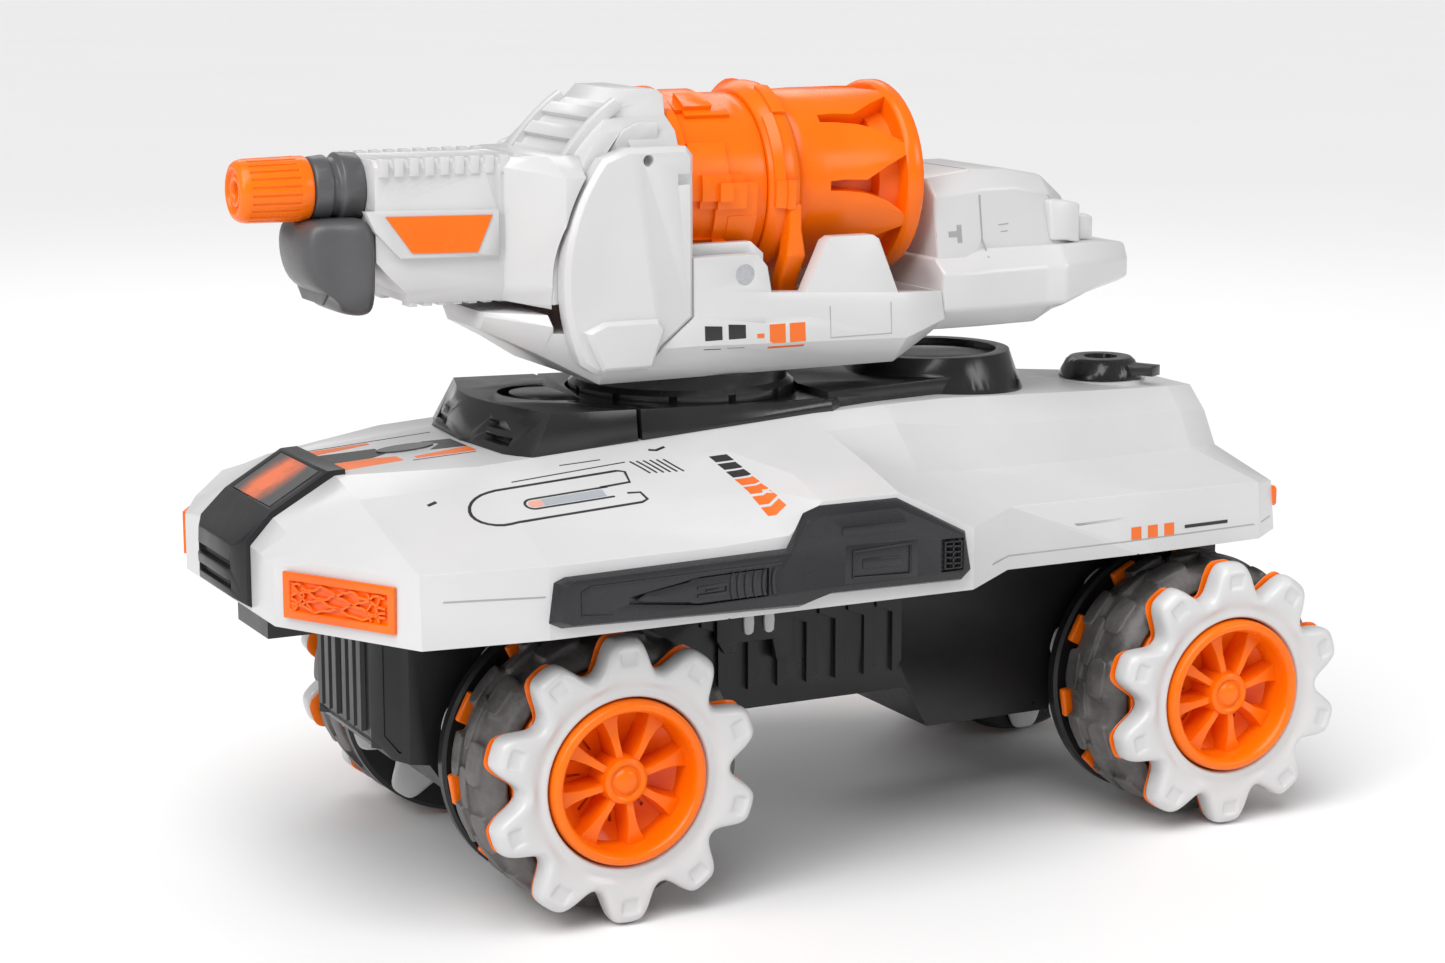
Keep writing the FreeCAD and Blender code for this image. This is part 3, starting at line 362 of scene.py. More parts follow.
def turned(name, profile, steps, axis="Y", centre=(0.0, 0.0, 0.0), sweep=360.0):
    """Body turned on a lathe: profile is a closed run of (distance from the axis, place along it) in mm."""
    arm = Vector((1.0, 0.0, 0.0)) if axis == "Y" else Vector((0.0, 0.0, 1.0))
    along = Vector((0.0, 1.0, 0.0)) if axis == "Y" else Vector((1.0, 0.0, 0.0))
    spots = [(arm * r + along * a) * MM for r, a in profile]
    clear_selection()
    bpy.ops.mesh.primitive_plane_add(size=MM)
    obj = bpy.context.object
    obj.name = name
    bpy.ops.object.mode_set(mode="EDIT")
    bpy.ops.mesh.select_mode(type="VERT")
    bpy.ops.mesh.select_all(action="SELECT")
    bpy.ops.mesh.merge(type="CENTER")
    bpy.ops.transform.translate(value=spots[0])
    for here, there in zip(spots, spots[1:] + spots[:1]):
        bpy.ops.mesh.extrude_region_move(TRANSFORM_OT_translate={"value": there - here})
    bpy.ops.mesh.select_all(action="SELECT")
    bpy.ops.mesh.remove_doubles(threshold=0.000005)
    bpy.ops.mesh.select_all(action="SELECT")
    bpy.ops.mesh.spin(steps=steps, angle=math.radians(sweep), center=(0.0, 0.0, 0.0), axis=along)
    tidy_mesh()
    if any(centre):
        bpy.ops.transform.translate(value=Vector(centre) * MM)
    leave()
    return obj


def block(name, low, high):
    """Rough box between two corners in mm, ready to be shaped."""
    clear_selection()
    low, high = Vector(low) * MM, Vector(high) * MM
    bpy.ops.mesh.primitive_cube_add(size=1.0, location=(low + high) / 2.0)
    obj = bpy.context.object
    obj.name = name
    obj.scale = high - low
    bpy.ops.object.transform_apply(location=True, rotation=True, scale=True)
    return obj


def slice_at(axis, value):
    """In edit mode, cuts every face along a plane across one axis, at a place in mm."""
    spot, normal = Vector(), Vector()
    spot[axis], normal[axis] = value * MM, 1.0
    bpy.ops.mesh.select_all(action="SELECT")
    bpy.ops.mesh.bisect(plane_co=spot, plane_no=normal)


def squeeze(obj, test, factors, about):
    """Scales the vertices that pass the test about a point in mm."""
    edit(obj)
    pick(obj, test)
    bpy.ops.transform.resize(value=factors, center_override=Vector(about) * MM)
    leave()


def bevelled(obj, width, segments=2, angle=30.0):
    apply_modifier(obj, "BEVEL", width=width * MM, segments=segments, limit_method="ANGLE",
                   angle_limit=math.radians(angle))
    return obj


def rounded(obj, levels=1):
    apply_modifier(obj, "SUBSURF", levels=levels, render_levels=levels)
    return obj


def turned_copies(obj, count, axis, centre=(0.0, 0.0, 0.0), first=0.0):
    """Copies of a piece set evenly round an axis, each with its own mesh; the original is the first."""
    copies = []
    spot = Vector(centre) * MM
    for i in range(count):
        copy = obj if i == count - 1 else obj.copy()
        if copy is not obj:
            copy.data = obj.data.copy()
            bpy.context.scene.collection.objects.link(copy)
        turn = Matrix.Rotation(math.radians(first + i * 360.0 / count), 4, axis)
        copy.data.transform(Matrix.Translation(spot) @ turn @ Matrix.Translation(-spot))
        copies.append(copy)
    return copies


def joined(name, pieces):
    clear_selection()
    for piece in pieces:
        piece.select_set(True)
    bpy.context.view_layer.objects.active = pieces[0]
    bpy.ops.object.join()
    pieces[0].name = name
    return pieces[0]


def outward(obj):
    edit(obj)
    bpy.ops.mesh.select_all(action="SELECT")
    bpy.ops.mesh.normals_make_consistent(inside=False)
    leave()
    return obj


# ---------------------------------------------------------------- wheels
PITCH = 2.0 * math.pi / TEETH
STEPS_A_TOOTH = 12


def tooth_share(where):
    """0 in the middle of a tooth, 1 half-way to the next; one tooth points straight down."""
    turn = (math.atan2(where.z, where.x) + math.pi / 2.0) / PITCH
    return abs(turn - round(turn)) * 2.0


def toothed_ring(name, loops):
    """Ring of ten rounded teeth. Each loop is (valley radius, tip radius, y), run round the section."""
    clear_selection()
    start = loops[0][0]
    bpy.ops.mesh.primitive_circle_add(vertices=TEETH * STEPS_A_TOOTH, radius=start * MM,
                                      rotation=(math.pi / 2.0, 0.0, 0.0), location=(0.0, loops[0][2] * MM, 0.0))
    obj = bpy.context.object
    obj.name = name
    bpy.ops.object.transform_apply(location=True, rotation=True, scale=True)
    bpy.ops.object.mode_set(mode="EDIT")
    bpy.ops.mesh.select_mode(type="VERT")
    bpy.ops.mesh.select_all(action="SELECT")
    valley, y = start, loops[0][2]
    marks = [(start, start, y)]
    for next_valley, next_tip, next_y in loops[1:] + loops[:1]:
        grow = next_valley / valley
        bpy.ops.mesh.extrude_region_move(TRANSFORM_OT_translate={"value": (0.0, (next_y - y) * MM, 0.0)})
        bpy.ops.transform.resize(value=(grow, 1.0, grow), center_override=(0.0, 0.0, 0.0))
        valley, y = next_valley, next_y
        marks.append((next_valley, next_tip, next_y))
    leave()
    reach = {0: 1.0, 1: 1.0, 2: 0.96, 3: 0.66, 4: 0.26, 5: 0.04, 6: 0.0}
    for base, tip, level in marks:
        if tip <= base:
            continue
        for step, share in reach.items():
            full = (base + (tip - base) * share) / base
            squeeze(obj, lambda p, b=base, l=level, s=step: abs(p.y - l) < 0.01
                    and abs(math.hypot(p.x, p.z) - b) < 0.02 and abs(tooth_share(p) * 6.0 - s) < 0.3,
                    (full, 1.0, full), (0.0, 0.0, 0.0))
    edit(obj)
    tidy_mesh()
    leave()
    return obj


def build_outer_plate():
    obj = toothed_ring("outer_plate", [
        (23.2, 23.2, 71.0), (23.3, 23.3, 77.2), (23.9, 23.9, 78.2), (25.0, 25.0, 78.0), (26.2, 26.2, 77.5),
        (27.6, 28.6, 78.6), (28.4, 31.6, 79.0), (29.6, 37.6, 78.8), (30.8, 39.5, 77.2), (31.2, 39.9, 75.0),
        (31.2, 39.9, 72.4), (30.6, 39.2, 71.0), (26.0, 26.2, 70.7)])
    edit(obj)
    pick(obj, lambda p: p.y > 78.2 and 31.0 < math.hypot(p.x, p.z) < 37.4 and tooth_share(p) < 0.34, "faces")
    bpy.ops.mesh.inset(thickness=1.0 * MM, depth=0.0)
    bpy.ops.transform.translate(value=(0.0, -0.25 * MM, 0.0))
    bpy.ops.mesh.inset(thickness=0.5 * MM, depth=0.0)
    bpy.ops.transform.translate(value=(0.0, -0.55 * MM, 0.0))
    leave()
    return rounded(obj, 2)


def build_inner_plate():
    obj = toothed_ring("inner_plate", [
        (14.6, 14.6, 36.3), (14.6, 14.6, 34.9), (22.0, 22.0, 34.6), (28.4, 36.4, 34.6), (29.8, 38.4, 35.2),
        (29.8, 38.4, 36.2), (22.0, 22.0, 36.4)])
    return rounded(obj, 1)


def build_rim():
    """Orange moulding: proud ring, eight flared spokes, hub boss, dished back, star backing and blocks."""
    ring = turned("rim", [
        (20.6, 41.6), (30.0, 41.6), (30.0, 68.8), (23.0, 69.0), (22.9, 77.4), (22.5, 79.2), (21.5, 80.0),
        (20.3, 79.7), (19.5, 78.4), (19.2, 76.6), (18.6, 72.0), (18.2, 69.4), (19.4, 67.0), (20.6, 64.0)], 72)
    dish = turned("dish", [
        (3.1, 66.6), (9.0, 66.4), (14.0, 67.2), (18.6, 69.6), (19.6, 69.2), (19.6, 64.6), (3.1, 64.0)], 48)
    edit(dish)
    pick(dish, lambda p: p.y > 66.3 and 10.0 < math.hypot(p.x, p.z) < 13.0
         and abs((math.degrees(math.atan2(p.z, p.x)) - 25.0) % 45.0 - 22.5) < 4.0, "faces")
    bpy.ops.mesh.inset(thickness=0.35 * MM, depth=0.0, use_individual=True)
    bpy.ops.mesh.extrude_region_move(TRANSFORM_OT_translate={"value": (0.0, -1.4 * MM, 0.0)})
    leave()
    hub = turned("hub", [
        (3.1, 65.0), (6.9, 65.0), (6.7, 74.6), (6.2, 76.2), (5.4, 76.7), (4.6, 76.5), (4.1, 75.9), (3.7, 76.0),
        (3.1, 76.8), (2.0, 77.3), (0.02, 77.5), (0.02, 75.6), (3.1, 75.4)], 48)
    spoke = block("spoke", (5.2, 66.2, -1.5), (19.6, 75.2, 1.5))
    edit(spoke)
    bpy.ops.mesh.select_all(action="SELECT")
    bpy.ops.mesh.subdivide(number_cuts=3)
    leave()
    for x, flare, rise in ((8.8, 0.95, 1.0), (12.4, 1.15, 0.92), (16.0, 1.75, 0.86), (19.6, 2.9, 0.86)):
        squeeze(spoke, lambda p, at=x: abs(p.x - at) < 0.05, (1.0, rise, flare), (x, 66.2, 0.0))
    squeeze(spoke, lambda p: p.y > 72.0 and abs(p.z) > 1.2, (1.0, 1.0, 0.72), (0.0, 0.0, 0.0))
    bevelled(spoke, 0.5, 2, 40.0)
    spokes = turned_copies(spoke, 8, "Y", first=12.0)
    star = toothed_ring("star", [
        (24.0, 24.0, 70.5), (30.2, 39.6, 70.4), (30.4, 39.9, 70.0), (30.2, 39.6, 69.6), (24.0, 24.0, 69.5)])
    star.data.transform(Matrix.Rotation(math.radians(1.2), 4, "Y"))
    rounded(star, 1)
    lug = block("lug", (29.2, 41.6, -4.4), (38.2, 46.2, 4.4))
    edit(lug)
    pick(lug, lambda p: abs(p.z) > 3.0)
    bpy.ops.transform.resize(value=(1.0, 0.55, 1.0), center_override=(0.0, 43.9 * MM, 0.0))
    leave()
    bevelled(lug, 0.8, 3)
    lugs = turned_copies(lug, TEETH, "Y", first=9.0)
    bevelled(ring, 0.25, 1)
    return outward(joined("rim", [ring, dish, hub, *spokes, star, *lugs]))


def build_axle():
    """Drawn steel axle with broken corners and a retaining groove at its inboard end."""
    return turned("axle", [
        (0.02, 5.0), (2.4, 5.0), (2.97, 5.6), (2.97, 7.4), (2.3, 7.6), (2.3, 8.4), (2.97, 8.6), (2.97, 74.6),
        (2.4, 75.2), (0.02, 75.2)], 40)


def build_tyre():
    """Soft tyre: a rounded carcass with two staggered rows of worn lugs and hollows between them."""
    obj = turned("tyre", [
        (30.2, 44.6), (35.0, 44.8), (36.4, 46.4), (37.0, 49.0), (37.2, 53.0), (37.3, 57.5), (37.0, 62.0),
        (36.4, 65.4), (34.8, 68.0), (32.0, 68.9), (30.2, 68.9)], 60)
    rows = ((46.9, 53.0, 0.0, 2.1), (53.0, 58.0, 2.5, 1.7), (58.0, 66.0, 0.0, 1.9))
    for low, high, shift, height in rows:
        edit(obj)
        pick(obj, lambda p: low < p.y < high and math.hypot(p.x, p.z) > 35.0 and
             (math.degrees(math.atan2(p.z, p.x)) / 6.0 + shift) % 5.0 < 3.0, "faces")
        bpy.ops.mesh.extrude_region_move()
        lift = 1.0 + height / 37.0
        bpy.ops.transform.resize(value=(lift, 1.0, lift), center_override=(0.0, 0.0, 0.0))
        bpy.ops.mesh.inset(thickness=0.5 * MM, depth=0.0)
        leave()
    edit(obj)
    pick(obj, lambda p: math.hypot(p.x, p.z) > 33.0)
    bpy.ops.transform.vertex_random(offset=0.42 * MM, uniform=0.4, normal=0.5, seed=5)
    leave()
    rounded(obj, 2)
    return obj


def wheel_set(part, slot, material, angle, made):
    """One modelled part, copied to all four wheels; the right-hand ones are mirror images."""
    for end in ("front", "rear"):
        for side, hand in SIDES:
            wheel = f"wheel_{end}_{hand}"
            hub = middle(wheel + "_axle")
            copy = made.copy()
            copy.data = made.data.copy()
            copy.name = f"{wheel}_{part}_moulded"
            bpy.context.scene.collection.objects.link(copy)
            copy.data.transform(Matrix.Translation((hub.x, 0.0, hub.z)) @ Matrix.Scale(side, 4, (0.0, 1.0, 0.0)))
            if side < 0.0:
                copy.data.flip_normals()
            finish_piece(copy, material, angle)
            place(copy, wheel, slot, f"{wheel}_{part}")
    bpy.data.objects.remove(made)


def build_wheels():
    wheel_set("outer_plate", "white_shell", WHITE, 50.0, build_outer_plate())
    wheel_set("inner_plate", "white_shell", WHITE, 50.0, build_inner_plate())
    wheel_set("rim", "orange_plastic", ORANGE, 38.0, build_rim())
    wheel_set("tyre", "tyre_rubber", RUBBER, 60.0, build_tyre())
    wheel_set("axle", "steel", STEEL, 40.0, build_axle())


# ---------------------------------------------------------------- drum
DRUM_Z = joints["drum_spin"]["pos_m"][2] / MM
DRUM_AXIS = (0.0, 0.0, DRUM_Z)


def clock(where):
    """Degrees round the drum's axis, 0 at the top and growing towards the car's left."""
    return math.degrees(math.atan2(where.y, where.z - DRUM_Z)) % 360.0


def off_axis(where):
    return math.hypot(where.y, where.z - DRUM_Z)


def raise_faces(obj, test, factor):
    """Pushes the picked faces out from, or in to, the drum's axis, with walls left round them."""
    edit(obj)
    if pick(obj, test, "faces"):
        bpy.ops.mesh.extrude_region_move()
        bpy.ops.transform.resize(value=(1.0, factor, factor), center_override=Vector(DRUM_AXIS) * MM)
    leave()


def build_drum_cage():
    """Rear cage: eight petals that narrow to ribs at the flange, with a tapered slot between each pair."""
    sectors, columns = 8, 8
    sweep = 360.0 / sectors
    half = sweep / 2.0
    wall = ((-15.0, 26.6, 3.0), (-20.0, 26.6, 3.6), (-27.0, 26.6, 5.6), (-34.0, 26.8, 11.0),
            (-40.2, 27.2, 17.0))
    obj = turned("drum_cage_moulded", [
        (19.0, -5.4), (25.2, -5.4), (26.0, -6.4), (26.3, -9.0), (26.5, -13.0)] +
        [(radius, x) for x, radius, edge in wall] + [
        (28.0, -40.8), (28.3, -41.6), (28.3, -44.4), (27.8, -45.2), (26.6, -45.6), (25.2, -45.0), (23.5, -44.6),
        (6.0, -44.6), (3.4, -45.4), (3.4, -43.4), (15.0, -43.0), (15.0, -8.0), (19.0, -8.0)],
        columns, "X", DRUM_AXIS, sweep)
    hand = 1.0 if max(v.co.y for v in obj.data.vertices) > MM else -1.0

    def turn_of(p):
        return math.degrees(math.atan2(abs(p.y), p.z - DRUM_Z))

    for x, radius, edge in wall:
        places = (half, (edge + half) / 2.0, edge, edge / 2.0, 0.0)
        for column in range(1, columns):
            old = column * sweep / columns
            away = places[min(column, columns - column)]
            new = half - away if column < columns / 2 else half + away
            edit(obj)
            pick(obj, lambda p: abs(p.x - x) < 0.3 and off_axis(p) > 25.0 and abs(turn_of(p) - old) < 0.5)
            old_turn, new_turn = math.radians(old), math.radians(new)
            step = Vector((0.0, hand * (math.sin(new_turn) - math.sin(old_turn)),
                           math.cos(new_turn) - math.cos(old_turn)))
            bpy.ops.transform.translate(value=step * radius * MM)
            leave()

    def in_pocket(p, last):
        for (x0, _, edge0), (x1, _, edge1) in zip(wall, wall[1:]):
            if last <= x1 < p.x < x0:
                return abs(turn_of(p) - half) < (edge0 + edge1) / 2.0
        return False

    raise_faces(obj, lambda p: off_axis(p) > 24.5 and in_pocket(p, -41.0), 0.80)
    raise_faces(obj, lambda p: 18.0 < off_axis(p) < 22.4 and in_pocket(p, -35.0), 0.78)
    obj = joined("drum_cage_moulded", turned_copies(obj, sectors, "X", DRUM_AXIS, -half))
    edit(obj)
    tidy_mesh()
    leave()
    bevelled(obj, 0.35, 2, 40.0)
    finish_piece(obj, ORANGE, 35.0)
    place(obj, "bead_drum", "orange_plastic", "drum_cage")


def build_drum_collar():
    obj = turned("drum_collar_moulded", [
        (18.0, 34.0), (27.2, 34.0), (28.3, 33.4), (28.4, 30.8), (27.2, 30.4), (26.0, 29.6), (26.0, 27.0),
        (26.0, 22.0), (26.0, 18.0), (26.0, 13.0), (26.0, 9.0), (25.8, 5.2), (19.0, 5.2), (19.0, -4.6), (16.5, -4.6),
        (16.5, 5.2), (3.4, 5.2), (3.4, 8.0), (23.6, 8.0), (23.6, 30.0), (18.0, 30.0)], 72, "X", DRUM_AXIS)
    def on_body(p):
        return off_axis(p) > 25.0 and p.x > 5.4
    raise_faces(obj, lambda p: on_body(p) and 18.0 < p.x < 29.8 and clock(p) % 60.0 < 34.0, 1.05)
    raise_faces(obj, lambda p: on_body(p) and 13.0 < p.x < 27.0 and 40.0 < (clock(p) + 20.0) % 60.0 < 58.0,
                1.045)
    raise_faces(obj, lambda p: on_body(p) and 9.0 < p.x < 22.0 and 86.0 < clock(p) < 106.0, 1.05)
    raise_faces(obj, lambda p: on_body(p) and 9.0 < p.x < 18.0 and (106.0 < clock(p) < 150.0
                                                                    or 250.0 < clock(p) < 300.0), 1.06)
    raise_faces(obj, lambda p: on_body(p) and 18.0 < p.x < 22.0 and 106.0 < clock(p) < 128.0, 1.05)
    outward(obj)
    bevelled(obj, 0.5, 2, 40.0)
    finish_piece(obj, ORANGE, 35.0)
    place(obj, "gun", "orange_plastic", "drum_collar")


def build_lock_ring():
    """Turning ring with grip lumps, a knob at the side and the lever that hangs from it."""
    obj = turned("lock_ring_moulded", [
        (19.1, 4.9), (26.8, 4.9), (27.8, 4.0), (28.6, 2.6), (29.2, 1.4), (29.3, -1.0), (28.9, -3.0), (28.0, -4.4),
        (26.6, -5.0), (19.1, -5.0)], 72, "X", DRUM_AXIS)
    raise_faces(obj, lambda p: off_axis(p) > 28.0 and -3.0 < p.x < 1.4
                and (20.0 < clock(p) < 45.0 or 84.0 < clock(p) < 99.0 or 200.0 < clock(p) < 225.0
                     or 320.0 < clock(p) < 345.0), 1.035)
    raise_faces(obj, lambda p: off_axis(p) > 27.4 and -1.0 < p.x < 4.0 and 84.0 < clock(p) < 99.0, 1.05)
    raise_faces(obj, lambda p: off_axis(p) > 27.4 and p.x > 1.0 and 45.0 < clock(p) < 84.0, 1.03)
    lever = block("lever", (-4.4, 25.2, DRUM_Z - 33.6), (1.6, 31.6, DRUM_Z - 4.0))
    edit(lever)
    bpy.ops.mesh.select_all(action="SELECT")
    bpy.ops.mesh.subdivide(number_cuts=3)
    pick(lever, lambda p: p.z < DRUM_Z - 20.0)
    bpy.ops.transform.translate(value=(0.0, -4.6 * MM, 0.0))
    pick(lever, lambda p: p.z < DRUM_Z - 30.0)
    bpy.ops.transform.resize(value=(0.8, 0.7, 1.0),
                             center_override=(-1.4 * MM, 23.0 * MM, (DRUM_Z - 33.6) * MM))
    pick(lever, lambda p: DRUM_Z - 18.0 < p.z < DRUM_Z - 2.0)
    bpy.ops.transform.resize(value=(0.66, 0.9, 1.0), center_override=(-1.4 * MM, 27.0 * MM, DRUM_Z * MM))
    leave()
    bevelled(lever, 0.9, 3, 25.0)
    bevelled(obj, 0.6, 2, 38.0)
    obj = outward(joined("lock_ring_moulded", [obj, lever]))
    finish_piece(obj, ORANGE, 35.0)
    place(obj, "drum_lock", "orange_plastic", "lock_ring")


def build_muzzle():
    """Ribbed orange cap with stepped rings round a small bore."""
    z = middle("muzzle_cap").z / MM
    obj = turned("muzzle_cap_moulded", [
        (2.6, 133.6), (8.6, 133.6), (8.9, 134.4), (8.95, 137.2), (8.7, 151.0), (8.3, 152.6), (7.6, 153.6),
        (6.6, 154.0), (5.9, 153.9), (5.7, 153.0), (4.4, 152.8), (4.2, 153.5), (3.0, 153.4), (2.6, 152.6)],
        96, "X")
    edit(obj)
    pick(obj, lambda p: 137.4 < p.x < 151.0 and math.hypot(p.y, p.z) > 8.0
         and abs(math.degrees(math.atan2(p.y, p.z)) % 15.0 - 5.6) < 2.0, "faces")
    bpy.ops.mesh.extrude_region_move()
    bpy.ops.transform.resize(value=(0.985, 0.955, 0.955), center_override=(137.4 * MM, 0.0, 0.0))
    leave()
    obj.data.transform(Matrix.Translation((0.0, 0.0, z * MM)))
    outward(obj)
    bevelled(obj, 0.12, 1, 30.0)
    finish_piece(obj, ORANGE, 40.0)
    place(obj, "gun", "orange_plastic", "muzzle_cap")


# ---------------------------------------------------------------- body shell
def build_shell():
    """Body shell with its long creases rounded wide and its rims rounded fine."""
    obj = merged_copy("upper_shell", 2.0)
    edit(obj)
    bpy.ops.mesh.select_all(action="DESELECT")
    bpy.ops.mesh.select_mode(type="EDGE")
    bm = bmesh.from_edit_mesh(obj.data)
    for edge in bm.edges:
        if len(edge.link_faces) != 2 or edge.calc_length() < 2.0 * MM:
            continue
        bend = edge.calc_face_angle_signed(0.0)
        centre = (edge.verts[0].co + edge.verts[1].co) / 2.0 / MM
        facing = (edge.link_faces[0].normal + edge.link_faces[1].normal).normalized()
        outer = facing.z > 0.05 or facing.dot(Vector((centre.x * 0.3, centre.y, 0.0)).normalized()) > 0.6
        near_nose = centre.x > 128.0 and abs(centre.y) < 24.0
        if outer and bend > math.radians(6.0) and centre.z > 86.0 and not near_nose and \
                math.hypot(centre.x - 20.0, centre.y) > 18.5 and \
                math.hypot(centre.x + 127.0, centre.y) > 16.0:
            edge.select_set(True)
    bmesh.update_edit_mesh(obj.data)
    bpy.ops.mesh.bevel(offset=2.2 * MM, segments=3, profile=0.5, clamp_overlap=True, affect="EDGES")
    leave()
    bevelled(obj, 0.5, 2, 40.0)
    finish_piece(obj, WHITE, 24.0)
    return place(obj, "car", "white_shell", "upper_shell")


def ribbon(points, width, closed=False):
    """Flat strip of even width along a run of points in a plane, as a list of quads."""
    count = len(points)
    sides = []
    for i, point in enumerate(points):
        before = points[i - 1] if closed or i else point
        after = points[(i + 1) % count] if closed or i < count - 1 else point
        run = (Vector(after) - Vector(before)).normalized()
        across = Vector((-run.y, run.x)) * width / 2.0
        sides.append((Vector(point) + across, Vector(point) - across))
    last = count if closed else count - 1
    return [[sides[i][0], sides[(i + 1) % count][0], sides[(i + 1) % count][1], sides[i][1]] for i in range(last)]


def rounded_slot(x0, x1, y0, y1, steps=6):
    """Outline with one round end, at x1, and one square end, at x0."""
    r = (y1 - y0) / 2.0
    points = [(x0, y0)]
    for i in range(steps * 2 + 1):
        a = -math.pi / 2.0 + math.pi * i / (steps * 2)
        points.append((x1 - r + r * math.cos(a), (y0 + y1) / 2.0 + r * math.sin(a)))
    return points + [(x0, y1)]


def laid_on(name, shapes, target, direction, material, body="car", thick=0.10, grid=3.0):
    """Flat shapes (points in mm) laid down on a surface ("Z"), or sideways onto a flank (1 or -1)."""
    mesh = bpy.data.meshes.new(name)
    verts, faces = [], []
    for shape in shapes:
        faces.append(list(range(len(verts), len(verts) + len(shape))))
        for u, v in shape:
            verts.append((u * MM, v * MM, 0.3) if direction == "Z" else (u * MM, 0.3 * direction, v * MM))
    mesh.from_pydata(verts, [], faces)
    obj = bpy.data.objects.new(name, mesh)
    bpy.context.scene.collection.objects.link(obj)
    edit(obj)
    bpy.ops.mesh.select_all(action="SELECT")
    bpy.ops.mesh.remove_doubles(threshold=0.00001)
    for axis in ((0, 1) if direction == "Z" else (0, 2)):
        low = min(v[axis] for v in verts)
        high = max(v[axis] for v in verts)
        for i in range(1, int((high - low) / (grid * MM)) + 1):
            slice_at(axis, low / MM + i * grid)
    leave()
    apply_modifier(obj, "SHRINKWRAP", wrap_method="PROJECT", target=target, use_project_x=False,
                   use_project_y=direction != "Z", use_project_z=direction == "Z",
                   use_negative_direction=True, use_positive_direction=True, offset=0.04 * MM)
    apply_modifier(obj, "SOLIDIFY", thickness=thick * MM, offset=0.0)
    outward(obj)
    finish_piece(obj, material, 40.0)
    place(obj, body, LAID_SLOT[material])


def strokes(*lines):
    """Quads of several (points, width) lines."""
    return [quad for points, width in lines for quad in ribbon(points, width)]


def print_hood_marks(shell):
    """Plain printed decoration of both hood halves, without any wording."""
    lines = strokes(
        (rounded_slot(64.0, 110.0, 50.0, 66.0), 0.9),
        ([(64.0, 50.0), (62.2, 51.0), (63.0, 56.0), (72.0, 56.4)], 0.8),
        ([(64.0, 66.0), (62.0, 65.0), (62.4, 61.4), (66.0, 60.8)], 0.8),
        (rounded_slot(70.0, 95.0, 56.6, 61.4), 0.7), ([(60.0, 46.5), (94.0, 47.4)], 0.4),
        ([(66.0, 43.4), (78.0, 43.0)], 0.35),
        *(([(58.6 - i * 1.9, 46.6 + i * 0.3), (55.6 - i * 1.9, 53.4 + i * 0.3)], 0.55) for i in range(6)),
        ([(46.0, 42.4), (49.0, 43.4), (51.0, 42.6)], 0.9), ([(116.0, 48.0), (118.6, 48.6)], 1.1))
    blocks = [[(36.0 - i * 0.5, 50.0 + i * 4.2), (30.6 - i * 0.5, 50.2 + i * 4.2),
               (30.0 - i * 0.5, 53.4 + i * 4.2), (35.4 - i * 0.5, 53.2 + i * 4.2)] for i in range(7)]
    on_hood = (
        ("hood_lines", lines, INK_BLACK), ("hood_bar", [rect(72.0, 90.0, 57.4, 60.6)], INK_GREY),
        ("hood_bar_end", [[(90.2, 57.4), (93.6, 57.6), (94.2, 59.0), (93.6, 60.4), (90.2, 60.6)]], INK_ROSE),
        ("side_blocks_dark", blocks[:3], INK_BLACK), ("side_blocks_orange", blocks[3:], INK_ORANGE))
    squares = [rect(-96.0 - i * 6.0, -92.4 - i * 6.0, 88.6, 92.2) for i in range(3)]
    for side, hand in SIDES:
        for name, shapes, ink in on_hood:
            sided = [[(x, side * y) for x, y in shape] for shape in shapes]
            laid_on(f"{name}_{hand}", sided, shell, "Z", ink)
        laid_on(f"flank_squares_{hand}", squares, shell, side, INK_ORANGE, grid=6.0)
        laid_on(f"flank_rule_{hand}", [rect(-128.0, -112.0, 90.0, 91.0)], shell, side, INK_BLACK, grid=6.0)


def print_centre_stripes(shell):
    """Orange and black bands that run back from the pane to the deck cover, round a dark oval."""
    orange = [[(129.8, 5.0), (129.8, 15.0), (112.0, 14.0), (112.0, 8.0), (118.0, 6.0)],
              [(108.0, 11.6), (108.0, 14.0), (91.0, 16.0), (91.0, 9.0)],
              [(129.8, -15.0), (129.8, -9.0), (112.0, -13.0), (112.0, -15.0)]]
    black = [[(129.8, -8.0), (129.8, 4.6), (118.0, 5.2), (113.0, 2.4), (113.0, -6.0)],
             [(101.0, 6.0), (91.0, 8.6), (91.0, -4.0), (99.0, -6.0), (96.0, 0.0)]]
    lines = strokes(([(129.8, -16.2), (92.0, -17.0)], 0.5), ([(110.0, 16.0), (92.0, 17.6)], 0.5))
    laid_on("centre_band_orange", orange, shell, "Z", INK_ORANGE)
    laid_on("centre_band_black", black + lines, shell, "Z", INK_BLACK)
    oval = [(106.0 + 8.5 * math.cos(math.radians(a)), -0.5 + 4.2 * math.sin(math.radians(a)))
            for a in range(0, 360, 20)]
    laid_on("centre_oval", [oval], shell, "Z", PANE, thick=0.9)


def print_turret_marks(tray):
    """Plain bars on the turret's flanks."""
    dark = [[(31.0 - i * 7.4, 148.6), (25.6 - i * 7.4, 148.4), (25.6 - i * 7.4, 155.0), (31.0 - i * 7.4, 155.4)]
            for i in range(2)]
    bright = [rect(14.6, 12.4, 151.0, 152.2), rect(10.6, 5.6, 149.2, 154.6), rect(4.2, -0.8, 149.2, 154.6),
              rect(10.6, -0.8, 147.6, 148.2)]
    for side, hand in SIDES:
        laid_on(f"turret_bars_dark_{hand}", dark, tray, side, INK_BLACK, "turret")
        laid_on(f"turret_bars_orange_{hand}", bright, tray, side, INK_ORANGE, "turret")


